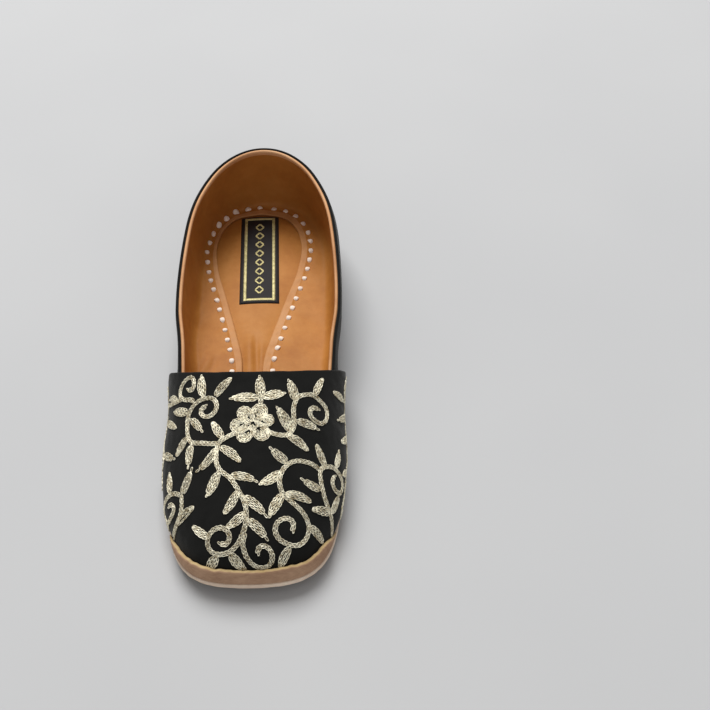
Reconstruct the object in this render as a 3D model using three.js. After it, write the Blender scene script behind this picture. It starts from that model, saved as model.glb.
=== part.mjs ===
// Mojari shoe: one shoe of a straight-lasted pair that has no left or right. A hollow upper is open at the
// collar and closed underneath by a flat leather sole. A vamp piece lies over its front, and a leather rand is
// turned up around the toe. Millimetres, +Z up, the toe towards -Y, X across the shoe. "along" is the distance
// from the front of the toe towards the heel, and "half" a distance from the middle line of the shoe.

import * as THREE from 'three';

// Lengths and widths of the sole
const soleLength = 254.5;
const ballWidth = 83;
const waistWidth = 76;
const heelWidth = 77;

// Thicknesses and heights of the sole
const outsoleThickness = 3.5;
const toeSpring = 5;
const archRise = 1.3;
const soleMargin = 0.4;

// The last: heights are taken from the floor
const insideRise = 42.5;
const throatHeight = 46;
const throatAlong = 91;
const throatRake = THREE.MathUtils.degToRad(39);
const heelHeight = 54.5;
const toeFan = 28;
const heelFan = 24;
const sideSwell = 10.5;

// Walls of the pieces
const upperWall = 2.4;
const vampWall = 1.5;
const vampFlare = 2.4;
const vampFlareLength = 26;
const throatSetback = 1.6;
const randWall = 2;
const randHeight = 6.6;
const insoleThickness = 4.2;
const flangeThickness = 1.1;

// Label patch on the insole
const labelWidth = 22;
const labelLength = 70;
const labelThickness = 0.6;
const labelCornerRadius = 1.2;
const labelBack = 48.5;
const labelOffset = -3.6;
const labelTurn = THREE.MathUtils.degToRad(1.7);

// The opening cut in the lining flange, and how far it sits off the middle line
const openingOffset = -4.2;
const openingLength = 172;
const openingWidth = 49;
const openingBack = 11.2;

// Gap between pieces that meet
const clearance = 0.3;

// Grid of the curved pieces
const vampColumns = 24;
const quarterColumns = 26;
const sideRows = 7;
const topRows = 7;
const soleColumns = 56;
const randColumns = 18;
const randRows = 3;
const flangeSpokes = 64;
const flangeRings = 4;

// Sections of the sole's outline. at: share of the sole's length. before, after: lengths of the curve's
// handles, as shares of the sole's length.
const outlineSections = [
  { at: 0.245, half: ballWidth / 2, before: 0.213, after: 0.1 },
  { at: 0.53, half: waistWidth / 2, before: 0.11, after: 0.1 },
  { at: 0.8, half: heelWidth / 2, before: 0.09, after: 0.125 },
];
// How far the blunt ends run straight across, as shares of the ball's and the heel's half width
const toeSquareness = 0.72;
const heelSquareness = 0.6;

// Sections of the last. at: share of the sole's length. spine: height of its middle line above the feather
// line, as a share of insideRise. swell: how far the wall swells out, as a share of sideSwell. rise: height of
// that swell, as a share of the spine's height. shoulder: width of the flat top, as a share of the half width.
const lastSections = [
  { at: 0, spine: 0.36, swell: -0.06, rise: 0.56, shoulder: 0.56 },
  { at: 0.07, spine: 0.5, swell: 0.2, rise: 0.55, shoulder: 0.58 },
  { at: 0.13, spine: 0.665, swell: 0.62, rise: 0.54, shoulder: 0.62 },
  { at: 0.2, spine: 0.805, swell: 0.98, rise: 0.54, shoulder: 0.65 },
  { at: 0.28, spine: 0.92, swell: 1.1, rise: 0.55, shoulder: 0.68 },
  { at: 0.36, spine: 1.01, swell: 1.1, rise: 0.56, shoulder: 0.73 },
  { at: 0.41, spine: 1.1, swell: 1.12, rise: 0.57, shoulder: 0.8 },
  { at: 0.5, spine: 1.36, swell: 1.24, rise: 0.54, shoulder: 0.96 },
  { at: 0.62, spine: 1.62, swell: 1.22, rise: 0.5, shoulder: 1.1 },
  { at: 0.76, spine: 1.72, swell: 1.02, rise: 0.46, shoulder: 1.04 },
  { at: 0.9, spine: 1.72, swell: 0.46, rise: 0.44, shoulder: 0.82 },
  { at: 1, spine: 1.7, swell: 0.42, rise: 0.42, shoulder: 0.65 },
];

// Height of the collar above the floor, as a share of heelHeight, at shares of the sole's length
const collarSections = [
  { at: 0, height: 0.49 },
  { at: 0.4, height: 0.545 },
  { at: 0.5, height: 0.64 },
  { at: 0.6, height: 0.73 },
  { at: 0.7, height: 0.82 },
  { at: 0.8, height: 0.905 },
  { at: 0.92, height: 0.98 },
  { at: 1, height: 1 },
];

// Underside of the outsole: lift above the floor, as shares of toeSpring and archRise
const undersideSections = [
  { at: 0, spring: 1, arch: 0 },
  { at: 0.07, spring: 0.5, arch: 0 },
  { at: 0.14, spring: 0.15, arch: 0 },
  { at: 0.22, spring: 0, arch: 0 },
  { at: 0.4, spring: 0, arch: 0 },
  { at: 0.52, spring: 0, arch: 1 },
  { at: 0.64, spring: 0, arch: 0 },
  { at: 0.94, spring: 0, arch: 0 },
  { at: 1, spring: 0, arch: 0.4 },
];

// Edge of the outsole from top to bottom. level: share of its thickness. inset: distance in from the outline,
// as a share of the thickness.
const outsoleEdge = [
  { level: 1, inset: 0.1 },
  { level: 0.82, inset: 0 },
  { level: 0.24, inset: 0.03 },
  { level: 0, inset: 0.2 },
];

// The flange's opening, from the heel end. from: share of openingLength. half: share of half openingWidth.
const openingSections = [
  { from: 0, half: 0.0 },
  { from: 0.012, half: 0.46 },
  { from: 0.035, half: 0.69 },
  { from: 0.1, half: 0.93 },
  { from: 0.17, half: 1 },
  { from: 0.26, half: 0.93 },
  { from: 0.4, half: 0.67 },
  { from: 0.55, half: 0.4 },
  { from: 0.68, half: 0.22 },
  { from: 0.9, half: 0.17 },
  { from: 0.985, half: 0.11 },
  { from: 1, half: 0 },
];

const colours = {
  soleLeather: 0xb98d6b,
  randLeather: 0x8f5f47,
  tanLeather: 0xb5743f,
  blackVelvet: 0x17171a,
  labelCloth: 0x231e23,
};

function smoothStep(value, from, to) {
  return THREE.MathUtils.smoothstep(value, from, to);
}

// Value of one column of a table of sections at a share of the length, as a smooth curve through its rows.
function sectionValue(sections, key, share, column) {
  const last = sections.length - 1;
  let row = 0;
  while (row < last - 1 && share > sections[row + 1][key]) row += 1;
  const slope = (index) => {
    const low = sections[Math.max(index - 1, 0)];
    const high = sections[Math.min(index + 1, last)];
    const here = sections[index];
    if (index === 0 || index === last) return (high[column] - low[column]) / (high[key] - low[key]);
    const before = (here[column] - low[column]) / (here[key] - low[key]);
    const after = (high[column] - here[column]) / (high[key] - here[key]);
    if (before * after <= 0) return 0;
    return (2 * before * after) / (before + after);
  };
  const start = sections[row];
  const end = sections[row + 1];
  const width = end[key] - start[key];
  const t = THREE.MathUtils.clamp((share - start[key]) / width, 0, 1);
  const t2 = t * t;
  const t3 = t2 * t;
  return (
    (2 * t3 - 3 * t2 + 1) * start[column] +
    (t3 - 2 * t2 + t) * width * slope(row) +
    (3 * t2 - 2 * t3) * end[column] +
    (t3 - t2) * width * slope(row + 1)
  );
}

// Half of the sole's outline as one curve, from the middle of the toe to the middle of the heel.
function makeOutline() {
  const curve = new THREE.CurvePath();
  const point = (half, along) => new THREE.Vector2(half, along);
  const [ball] = outlineSections;
  const heel = outlineSections[outlineSections.length - 1];
  const place = (section, handle) => point(section.half, (section.at + handle) * soleLength);
  const toeHandle = point(toeSquareness * ball.half, 0);
  curve.add(new THREE.CubicBezierCurve(point(0, 0), toeHandle, place(ball, -ball.before), place(ball, 0)));
  for (let index = 1; index < outlineSections.length; index += 1) {
    const start = outlineSections[index - 1];
    const end = outlineSections[index];
    const handles = [place(start, start.after), place(end, -end.before)];
    curve.add(new THREE.CubicBezierCurve(place(start, 0), ...handles, place(end, 0)));
  }
  const heelHandle = point(heelSquareness * heel.half, soleLength);
  const heelEnd = point(0, soleLength);
  curve.add(new THREE.CubicBezierCurve(place(heel, 0), place(heel, heel.after), heelHandle, heelEnd));
  return curve;
}

const outline = makeOutline();

// Outward direction of the outline in plan, at a share s of the way round it.
const outlineStep = 1e-4;
function outlineNormal(s) {
  const step = outlineStep;
  const before = outline.getPoint(Math.max(s - step, 0));
  const after = outline.getPoint(Math.min(s + step, 1));
  const tangent = after.sub(before).normalize();
  if (s <= 0) return new THREE.Vector2(0, -1);
  if (s >= 1) return new THREE.Vector2(0, 1);
  return new THREE.Vector2(tangent.y, -tangent.x);
}

function outlinePoint(s, inset) {
  const point = outline.getPoint(s).addScaledVector(outlineNormal(s), -inset);
  if (s <= 0 || s >= 1) point.x = 0;
  return point;
}

// Heights of the sole's surfaces above the floor.
function undersideHeight(along) {
  const share = THREE.MathUtils.clamp(along / soleLength, 0, 1);
  const spring = sectionValue(undersideSections, 'at', share, 'spring');
  return spring * toeSpring + sectionValue(undersideSections, 'at', share, 'arch') * archRise;
}

function featherHeight(along) {
  return undersideHeight(along) + outsoleThickness + clearance;
}

// Share of the rand's wall that is left at a distance from the toe: it thins out along the sides, between two
// shares of the sole's length.
const randFullShare = 0.055;
const randEndShare = 0.15;
function randShare(along) {
  return 1 - smoothStep(along / soleLength, randFullShare, randEndShare);
}

// Share of the vamp piece's wall that the feather line makes room for, between two shares of the sole's length.
const vampFullShare = 0.47;
const vampEndShare = 0.56;
function vampShare(along) {
  return 1 - smoothStep(along / soleLength, vampFullShare, vampEndShare);
}

// Feather line: where the outside of the upper meets the sole.
function featherPoint(s) {
  const { y: along } = outline.getPoint(s);
  const rand = randShare(along) * (randWall + clearance);
  const vamp = vampShare(along) * (vampWall + clearance);
  const plan = outlinePoint(s, soleMargin + rand + vamp);
  return new THREE.Vector3(plan.x, plan.y, featherHeight(plan.y));
}

// Middle line of the last, and the place on it that each section of the feather line runs up to.
function spineHeight(along) {
  return featherHeight(along) + sectionValue(lastSections, 'at', along / soleLength, 'spine') * insideRise;
}

const fanReach = 2.2;
const fanSpread = 0.32;
function spineAlong(foot) {
  const toe = toeFan + (fanSpread * foot.x * foot.x) / (ballWidth / 2);
  const toeShare = 1 - smoothStep(foot.y, 0, fanReach * toeFan);
  const heelShare = 1 - smoothStep(soleLength - foot.y, 0, fanReach * heelFan);
  return foot.y + toeShare * toe - heelShare * heelFan;
}

// Length over which the slope of the middle line is taken
const slopeRun = 1;

// A point on the outside of the last: s goes round the feather line, v up from it (0) to the middle line (1).
function lastPoint(s, v) {
  const foot = featherPoint(s);
  const normal = outlineNormal(s);
  const share = foot.y / soleLength;
  const value = (column) => sectionValue(lastSections, 'at', share, column);
  const spine = new THREE.Vector3(0, spineAlong(foot), 0);
  spine.z = spineHeight(spine.y);
  const rising = spineHeight(spine.y + slopeRun / 2) - spineHeight(spine.y - slopeRun / 2);
  const slope = rising / slopeRun;
  const swell = value('swell') * sideSwell;
  const rise = value('rise') * (spine.z - foot.z);
  const lower = new THREE.Vector3(foot.x + normal.x * swell, foot.y + normal.y * swell, foot.z + rise);
  const back = foot.y - spine.y;
  const shoulder = value('shoulder');
  const upper = new THREE.Vector3(shoulder * foot.x, spine.y + shoulder * back, spine.z + shoulder * back * slope);
  const point = new THREE.CubicBezierCurve3(foot, lower, upper, spine).getPoint(v);
  if (s <= 0 || s >= 1 || v >= 1) point.x = 0;
  return point;
}

// Outward direction of the last's surface. It lies level at the feather line, so that every wall stands
// square on the sole, and in the middle plane on the middle line. It is taken over a small step in s and v.
const levelRows = 0.09;
const normalStep = 1e-3;
function lastNormal(s, v) {
  const step = normalStep;
  const near = THREE.MathUtils.clamp(s, 2 * step, 1 - 2 * step);
  const below = Math.min(v, 1 - 2 * step);
  const around = lastPoint(near + step, below).sub(lastPoint(near - step, below));
  const up = lastPoint(near, below + step).sub(lastPoint(near, Math.max(below - step, 0)));
  const normal = around.cross(up);
  if (s <= 0 || s >= 1 || v >= 1) normal.x = 0;
  if (v < levelRows) normal.z *= v / levelRows;
  return normal.normalize();
}

// A point off the last's surface. Its foot follows the sole up and down.
function offsetPoint(s, v, distance) {
  const base = lastPoint(s, v);
  const point = base.clone().addScaledVector(lastNormal(s, v), distance);
  const footing = Math.max(1 - v / levelRows, 0);
  point.z += footing * (featherHeight(point.y) - featherHeight(base.y));
  return point;
}

// The value between low and high where a rising measure passes zero.
function solve(measure, low = 0, high = 1) {
  let from = low;
  let to = high;
  for (let turn = 0; turn < 40; turn += 1) {
    const middle = (from + to) / 2;
    if (measure(middle) > 0) to = middle;
    else from = middle;
  }
  return (from + to) / 2;
}

// The throat lies in one raked plane. setback moves that plane towards the toe.
function throatShare(v, setback) {
  return solve((s) => {
    const point = lastPoint(s, v);
    return point.y - throatAlong + setback - Math.tan(throatRake) * (throatHeight - point.z);
  });
}

function collarShare(s) {
  return solve((v) => {
    const point = lastPoint(s, v);
    const share = THREE.MathUtils.clamp(point.y / soleLength, 0, 1);
    return point.z - sectionValue(collarSections, 'at', share, 'height') * heelHeight;
  });
}

// Where the collar meets the throat on the upper.
function collarCorner(setback) {
  let v = 0.4;
  for (let turn = 0; turn < 30; turn += 1) v = collarShare(throatShare(v, setback));
  return v;
}

// Height up the wall, as a share v, that stands a given distance above the feather line.
function shareAtRise(s, rise) {
  const foot = featherPoint(s).z;
  return solve((v) => lastPoint(s, v).z - foot - rise, 0, 0.8);
}

// Builds one closed mesh from triangles. Points closer than a hair are one point, and flat triangles drop out.
class Solid {
  constructor() {
    this.keys = new Map();
    this.positions = [];
    this.indices = [];
  }

  index(point) {
    const key = [point.x, point.y, point.z].map((value) => Math.round(value * 1000)).join(',');
    if (!this.keys.has(key)) {
      this.keys.set(key, this.keys.size);
      this.positions.push(point.x, point.y, point.z);
    }
    return this.keys.get(key);
  }

  triangle(a, b, c) {
    const corners = [this.index(a), this.index(b), this.index(c)];
    if (new Set(corners).size === 3) this.indices.push(...corners);
  }

  quad(a, b, c, d) {
    this.triangle(a, b, c);
    this.triangle(a, c, d);
  }

  geometry() {
    const geometry = new THREE.BufferGeometry();
    geometry.setAttribute('position', new THREE.Float32BufferAttribute(this.positions, 3));
    geometry.setIndex(this.indices);
    geometry.computeVertexNormals();
    return geometry;
  }
}

const mirrored = (point) => new THREE.Vector3(-point.x, point.y, point.z);
const onMiddle = (point) => Math.abs(point.x) < 1e-6;

// Adds a strip of quads between two rows of points, and its mirror image on the other side of the shoe.
function addMirroredQuad(solid, a, b, c, d) {
  solid.quad(a, b, c, d);
  solid.quad(mirrored(d), mirrored(c), mirrored(b), mirrored(a));
}

// A wall between an outer and an inner grid of points on one half of the shoe, closed along every edge that
// isn't on the middle plane, and mirrored. isOpen(i, j) leaves out a cell of the grid.
function wallGeometry(outer, inner, isOpen = () => false) {
  const solid = new Solid();
  const columns = outer.length - 1;
  const rows = outer[0].length - 1;
  const filled = (i, j) => i >= 0 && i < columns && j >= 0 && j < rows && !isOpen(i, j);
  const rim = (i, j, k, l) => {
    if (onMiddle(outer[i][j]) && onMiddle(outer[k][l])) return;
    addMirroredQuad(solid, outer[k][l], outer[i][j], inner[i][j], inner[k][l]);
  };
  for (let i = 0; i < columns; i += 1) {
    for (let j = 0; j < rows; j += 1) {
      if (!filled(i, j)) continue;
      addMirroredQuad(solid, outer[i][j], outer[i + 1][j], outer[i + 1][j + 1], outer[i][j + 1]);
      addMirroredQuad(solid, inner[i][j], inner[i][j + 1], inner[i + 1][j + 1], inner[i + 1][j]);
      if (!filled(i, j - 1)) rim(i, j, i + 1, j);
      if (!filled(i + 1, j)) rim(i + 1, j, i + 1, j + 1);
      if (!filled(i, j + 1)) rim(i + 1, j + 1, i, j + 1);
      if (!filled(i - 1, j)) rim(i, j + 1, i, j);
    }
  }
  return solid.geometry();
}

// The upper's grid: the vamp's columns run up to the middle line, the quarter's only up to the collar.
function upperGrid(inset) {
  const corner = collarCorner(throatSetback);
  const grid = [];
  const rowShare = (j) => {
    if (j <= sideRows) return (corner * j) / sideRows;
    return corner + ((1 - corner) * (j - sideRows)) / topRows;
  };
  const throats = [];
  for (let j = 0; j <= sideRows + topRows; j += 1) throats.push(throatShare(rowShare(j), throatSetback));
  for (let i = 0; i <= vampColumns + quarterColumns; i += 1) {
    const column = [];
    for (let j = 0; j <= sideRows + topRows; j += 1) {
      if (i <= vampColumns) {
        column.push(offsetPoint((throats[j] * i) / vampColumns, rowShare(j), -inset));
      } else if (j <= sideRows) {
        const back = (i - vampColumns) / quarterColumns;
        const s = throats[j] + (1 - throats[j]) * back;
        column.push(offsetPoint(s, (collarShare(s) * j) / sideRows, -inset));
      } else {
        column.push(column[sideRows].clone());
      }
    }
    grid.push(column);
  }
  return grid;
}

function upperGeometry() {
  return wallGeometry(upperGrid(0), upperGrid(upperWall), (i, j) => i >= vampColumns && j >= sideRows);
}

// The vamp piece lies on the upper, and its rear edge stands off the quarters at the sides.
function vampLift(s, v, rear) {
  const distance = lastPoint(rear, v).distanceTo(lastPoint(s, v));
  const side = 6.75 * v * (1 - v) * (1 - v);
  return vampFlare * side * (1 - smoothStep(distance, 0, vampFlareLength));
}

function vampGrid(lift) {
  const grid = [];
  const rows = sideRows + topRows;
  const rears = [];
  for (let j = 0; j <= rows; j += 1) rears.push(throatShare(j / rows, 0));
  for (let i = 0; i <= vampColumns; i += 1) {
    const column = [];
    for (let j = 0; j <= rows; j += 1) {
      const s = (rears[j] * i) / vampColumns;
      const v = j / rows;
      column.push(offsetPoint(s, v, lift + vampLift(s, v, rears[j])));
    }
    grid.push(column);
  }
  return grid;
}

function vampGeometry() {
  return wallGeometry(vampGrid(clearance + vampWall), vampGrid(clearance));
}

// The rand stands around the toe, outside the vamp piece. It ends where a given share of its wall is left, and
// there it has a given share of its height.
const randEndWallShare = 0.4;
const randEndHeightShare = 0.3;
function randGeometry() {
  const end = solve((s) => randEndWallShare - randShare(outline.getPoint(s).y), 0, 0.5);
  const outer = [];
  const inner = [];
  for (let i = 0; i <= randColumns; i += 1) {
    const s = (end * i) / randColumns;
    const share = randShare(outline.getPoint(s).y);
    const fade = (share - randEndWallShare) / (1 - randEndWallShare);
    const top = shareAtRise(s, randHeight * THREE.MathUtils.lerp(randEndHeightShare, 1, fade));
    const wall = share * (randWall + clearance) - clearance;
    const lift = 2 * clearance + vampWall;
    const column = (distance) => {
      const points = [];
      for (let j = 0; j <= randRows; j += 1) points.push(offsetPoint(s, (top * j) / randRows, distance));
      return points;
    };
    outer.push(column(lift + wall));
    inner.push(column(lift));
  }
  return wallGeometry(outer, inner);
}

// A plate that follows the sole: edges is a list of rows, from the top of its edge to the bottom.
function plateGeometry(edges) {
  const solid = new Solid();
  const bottom = edges.length - 1;
  const middle = (point) => new THREE.Vector3(0, point.y, point.z);
  for (let i = 0; i < soleColumns; i += 1) {
    const [a, b] = [edges[0][i], edges[0][i + 1]];
    const [c, d] = [edges[bottom][i], edges[bottom][i + 1]];
    addMirroredQuad(solid, a, b, middle(b), middle(a));
    addMirroredQuad(solid, d, c, middle(c), middle(d));
    for (let k = 0; k < bottom; k += 1) {
      addMirroredQuad(solid, edges[k + 1][i], edges[k + 1][i + 1], edges[k][i + 1], edges[k][i]);
    }
  }
  return solid.geometry();
}

function edgeRow(pointAt) {
  return Array.from({ length: soleColumns + 1 }, (unused, i) => pointAt(i / soleColumns));
}

function outsoleGeometry() {
  const rows = outsoleEdge.map(({ level, inset }) =>
    edgeRow((s) => {
      const plan = outlinePoint(s, inset * outsoleThickness);
      const height = undersideHeight(plan.y) + level * outsoleThickness;
      return new THREE.Vector3(plan.x, plan.y, height);
    }),
  );
  return plateGeometry(rows);
}

// Inside line of the upper at a rise above the feather line, kept clear of the wall from low to high.
function insidePoint(s, low, high) {
  const points = [low, high].map((rise) => offsetPoint(s, shareAtRise(s, rise), -upperWall));
  const normal = outlineNormal(s);
  const outwards = (point) => point.x * normal.x + point.y * normal.y;
  const [inner] = points.sort((a, b) => outwards(a) - outwards(b));
  const plan = new THREE.Vector2(inner.x, inner.y).addScaledVector(normal, -clearance);
  if (s <= 0 || s >= 1) plan.x = 0;
  return plan;
}

const flangeBottom = insoleThickness + clearance;
const flangeTop = flangeBottom + flangeThickness;

function insoleGeometry() {
  const row = (rise) =>
    edgeRow((s) => {
      const plan = insidePoint(s, 0, flangeTop);
      return new THREE.Vector3(plan.x, plan.y, featherHeight(plan.y) + rise);
    });
  return plateGeometry([row(insoleThickness), row(0)]);
}

// Outline of the opening at a turn from 0 to 1: up the right side from the toe end, and down the left side.
function openingPoint(turn) {
  const side = turn < 0.5 ? 1 : -1;
  const half = turn < 0.5 ? 1 - 2 * turn : 2 * turn - 1;
  const from = 0.5 - 0.5 * Math.cos(Math.PI * half);
  const width = sectionValue(openingSections, 'from', from, 'half') * (openingWidth / 2);
  const back = soleLength - openingBack;
  return new THREE.Vector2(openingOffset + side * width, back - from * openingLength);
}

// The lining's lasted margin: a flat ring between the inside of the upper and the opening.
function flangeGeometry() {
  const solid = new Solid();
  const spoke = (k) => (k % flangeSpokes) / flangeSpokes;
  const outerPlan = (k) => {
    const turn = spoke(k);
    const s = turn < 0.5 ? 2 * turn : 2 - 2 * turn;
    const plan = insidePoint(s, flangeBottom, flangeTop);
    if (turn > 0.5) plan.x *= -1;
    return plan;
  };
  const level = (k, ring, rise) => {
    const plan = outerPlan(k).lerp(openingPoint(spoke(k)), ring / flangeRings);
    return new THREE.Vector3(plan.x, plan.y, featherHeight(plan.y) + rise);
  };
  for (let k = 0; k < flangeSpokes; k += 1) {
    const top = (step, ring) => level(k + step, ring, flangeTop);
    const bottom = (step, ring) => level(k + step, ring, flangeBottom);
    for (let ring = 0; ring < flangeRings; ring += 1) {
      solid.quad(top(0, ring), top(1, ring), top(1, ring + 1), top(0, ring + 1));
      solid.quad(bottom(0, ring), bottom(0, ring + 1), bottom(1, ring + 1), bottom(1, ring));
    }
    solid.quad(bottom(0, 0), bottom(1, 0), top(1, 0), top(0, 0));
    solid.quad(top(0, flangeRings), top(1, flangeRings), bottom(1, flangeRings), bottom(0, flangeRings));
  }
  return solid.geometry();
}

function labelGeometry() {
  const half = { x: labelWidth / 2, y: labelLength / 2 };
  const radius = Math.min(labelCornerRadius, half.x, half.y);
  const shape = new THREE.Shape();
  shape.absarc(half.x - radius, half.y - radius, radius, 0, Math.PI / 2);
  shape.absarc(radius - half.x, half.y - radius, radius, Math.PI / 2, Math.PI);
  shape.absarc(radius - half.x, radius - half.y, radius, Math.PI, 1.5 * Math.PI);
  shape.absarc(half.x - radius, radius - half.y, radius, 1.5 * Math.PI, 2 * Math.PI);
  return new THREE.ExtrudeGeometry(shape, { depth: labelThickness, bevelEnabled: false, curveSegments: 4 });
}

function piece(name, geometry, color, roughness) {
  const material = new THREE.MeshStandardMaterial({ color, roughness, metalness: 0 });
  const mesh = new THREE.Mesh(geometry, material);
  mesh.name = name;
  return mesh;
}

const shoe = new THREE.Group();
shoe.add(piece('outsole', outsoleGeometry(), colours.soleLeather, 0.8));
shoe.add(piece('upper', upperGeometry(), colours.tanLeather, 0.6));
shoe.add(piece('insole', insoleGeometry(), colours.tanLeather, 0.55));
shoe.add(piece('lining_flange', flangeGeometry(), colours.tanLeather, 0.55));
shoe.add(piece('vamp_cover', vampGeometry(), colours.blackVelvet, 0.95));
shoe.add(piece('rand', randGeometry(), colours.randLeather, 0.75));

const label = piece('label_patch', labelGeometry(), colours.labelCloth, 0.8);
const labelAlong = soleLength - labelBack;
const labelHeight = featherHeight(labelAlong) + insoleThickness + clearance;
label.position.set(labelOffset, labelAlong, labelHeight);
label.rotation.z = labelTurn;
shoe.add(label);

// The origin is under the middle of the shoe, on the floor.
const bounds = new THREE.Box3().setFromObject(shoe);
const middle = bounds.getCenter(new THREE.Vector3());
shoe.position.set(-middle.x, -middle.y, -bounds.min.z);

export default shoe;
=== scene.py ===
"""Looks of a mojari shoe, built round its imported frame.

Sizes are in millimetres in the shoe's own terms: x across, "along" from the front of the toe to
the heel, and z up from the floor. A mesh is turned into metres, and into the frame's place, as it
is made.
"""

import logging
import math
from dataclasses import dataclass, field
from enum import Enum
from typing import Callable, Sequence

import bmesh
import bpy
import numpy as np
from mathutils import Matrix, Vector, noise
from mathutils.bvhtree import BVHTree


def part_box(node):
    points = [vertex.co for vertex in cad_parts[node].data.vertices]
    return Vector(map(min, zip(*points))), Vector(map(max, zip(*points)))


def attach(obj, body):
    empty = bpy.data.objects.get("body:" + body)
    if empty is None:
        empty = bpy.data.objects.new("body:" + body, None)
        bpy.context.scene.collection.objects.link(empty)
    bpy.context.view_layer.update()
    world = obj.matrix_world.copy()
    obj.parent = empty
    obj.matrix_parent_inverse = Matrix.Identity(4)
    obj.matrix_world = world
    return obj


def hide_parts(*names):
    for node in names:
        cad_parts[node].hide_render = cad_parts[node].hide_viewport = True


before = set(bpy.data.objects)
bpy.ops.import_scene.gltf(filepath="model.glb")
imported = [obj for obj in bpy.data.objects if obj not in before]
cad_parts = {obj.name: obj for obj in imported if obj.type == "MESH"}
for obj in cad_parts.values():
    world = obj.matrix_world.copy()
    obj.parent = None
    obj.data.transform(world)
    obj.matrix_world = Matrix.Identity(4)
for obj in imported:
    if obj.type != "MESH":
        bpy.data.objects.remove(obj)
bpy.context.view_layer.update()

MM = 0.001
BODY = "root"
Array = np.ndarray
Colour = tuple[float, float, float]
Pair = tuple[float, float]
Material = bpy.types.Material
Piece = bpy.types.Object
Socket = bpy.types.NodeSocket

log = logging.getLogger("mojari")


def smooth_step(value: Array, low: float, high: float) -> Array:
    """Eased share of the way from low to high.

    Args:
        value: Numbers to place between the two ends.
        low: Where the share is 0.
        high: Where the share is 1.

    Returns:
        Shares from 0 to 1.
    """
    t = np.clip((np.asarray(value, float) - low) / (high - low), 0.0, 1.0)
    return t * t * (3.0 - 2.0 * t)


def unit(vectors: Array) -> Array:
    """Vectors scaled to a length of one."""
    return vectors / np.maximum(np.linalg.norm(vectors, axis=-1, keepdims=True), 1e-12)


def mirrored(points: Array) -> Array:
    """Points on the other side of the shoe's middle plane."""
    return points * np.array([-1.0, 1.0, 1.0])


def curve(t: Array, a: Array, b: Array, c: Array, d: Array) -> Array:
    """Points of a cubic curve.

    Args:
        t: Shares of the way from a to d.
        a: Where it starts.
        b: What it starts towards.
        c: What it ends from.
        d: Where it ends.

    Returns:
        The points.
    """
    return (1 - t) ** 3 * a + 3 * (1 - t) ** 2 * t * b + 3 * (1 - t) * t**2 * c + t**3 * d


def way_gone(points: Array) -> Array:
    """Distance gone at each point of a path."""
    return np.concatenate([[0], np.cumsum(np.linalg.norm(np.diff(points, axis=0), axis=1))])


def read_off(at: float | Array, places: Array, table: Array) -> Array:
    """Columns of a table between its rows.

    Args:
        at: Places to read at.
        places: Place of each row.
        table: The table.

    Returns:
        One value for each column, on the last axis.
    """
    return np.stack([np.interp(at, places, column) for column in table.T], -1)


@dataclass(frozen=True)
class SectionTable:
    """A short table of sections, read as smooth curves through its rows.

    The first column is the place of each row, as a share of the length.
    """

    names: tuple[str, ...]
    rows: tuple[tuple[float, ...], ...]

    def value(self, name: str, share: Array) -> Array:
        """One column at some shares of the length.

        Args:
            name: Name of the column.
            share: Places along the table's first column.

        Returns:
            The column's values there, without overshoot between rows.
        """
        table = np.array(self.rows, float)
        at = table[:, 0]
        column = table[:, self.names.index(name)]
        width = np.diff(at)
        rise = np.diff(column) / width
        slopes = np.zeros(len(at))
        slopes[0], slopes[-1] = rise[0], rise[-1]
        same_way = rise[:-1] * rise[1:] > 0
        sums = np.where(same_way, rise[:-1] + rise[1:], 1.0)
        slopes[1:-1] = np.where(same_way, 2.0 * rise[:-1] * rise[1:] / sums, 0.0)
        share = np.asarray(share, float)
        row = np.clip(np.searchsorted(at, share, side="left") - 1, 0, len(width) - 1)
        t = np.clip((share - at[row]) / width[row], 0.0, 1.0)
        t2, t3 = t * t, t * t * t
        return (
            (2 * t3 - 3 * t2 + 1) * column[row]
            + (t3 - 2 * t2 + t) * width[row] * slopes[row]
            + (3 * t2 - 2 * t3) * column[row + 1]
            + (t3 - t2) * width[row] * slopes[row + 1]
        )


# Sections of the last. spine: height of its middle line. swell, rise: how far the wall swells out,
# and how high up. shoulder: width of the flat top. All are shares of the last's own sizes.
LAST_SECTIONS = SectionTable(
    ("at", "spine", "swell", "rise", "shoulder"),
    (
        (0.0, 0.36, -0.06, 0.56, 0.56),
        (0.07, 0.5, 0.2, 0.55, 0.58),
        (0.13, 0.665, 0.62, 0.54, 0.62),
        (0.2, 0.805, 0.98, 0.54, 0.65),
        (0.28, 0.92, 1.1, 0.55, 0.68),
        (0.36, 1.01, 1.1, 0.56, 0.73),
        (0.41, 1.1, 1.12, 0.57, 0.8),
        (0.5, 1.36, 1.24, 0.54, 0.96),
        (0.62, 1.62, 1.22, 0.5, 1.1),
        (0.76, 1.72, 1.02, 0.46, 1.04),
        (0.9, 1.72, 0.46, 0.44, 0.82),
        (1.0, 1.7, 0.42, 0.42, 0.65),
    ),
)
COLLAR_SECTIONS = SectionTable(
    ("at", "height"),
    (
        (0.0, 0.49), (0.4, 0.545), (0.5, 0.64), (0.6, 0.73),
        (0.7, 0.82), (0.8, 0.905), (0.92, 0.98), (1.0, 1.0),
    ),
)
UNDERSIDE_SECTIONS = SectionTable(
    ("at", "spring", "arch"),
    (
        (0.0, 1.0, 0.0),
        (0.07, 0.5, 0.0),
        (0.14, 0.15, 0.0),
        (0.22, 0.0, 0.0),
        (0.4, 0.0, 0.0),
        (0.52, 0.0, 1.0),
        (0.64, 0.0, 0.0),
        (0.94, 0.0, 0.0),
        (1.0, 0.0, 0.4),
    ),
)
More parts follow.
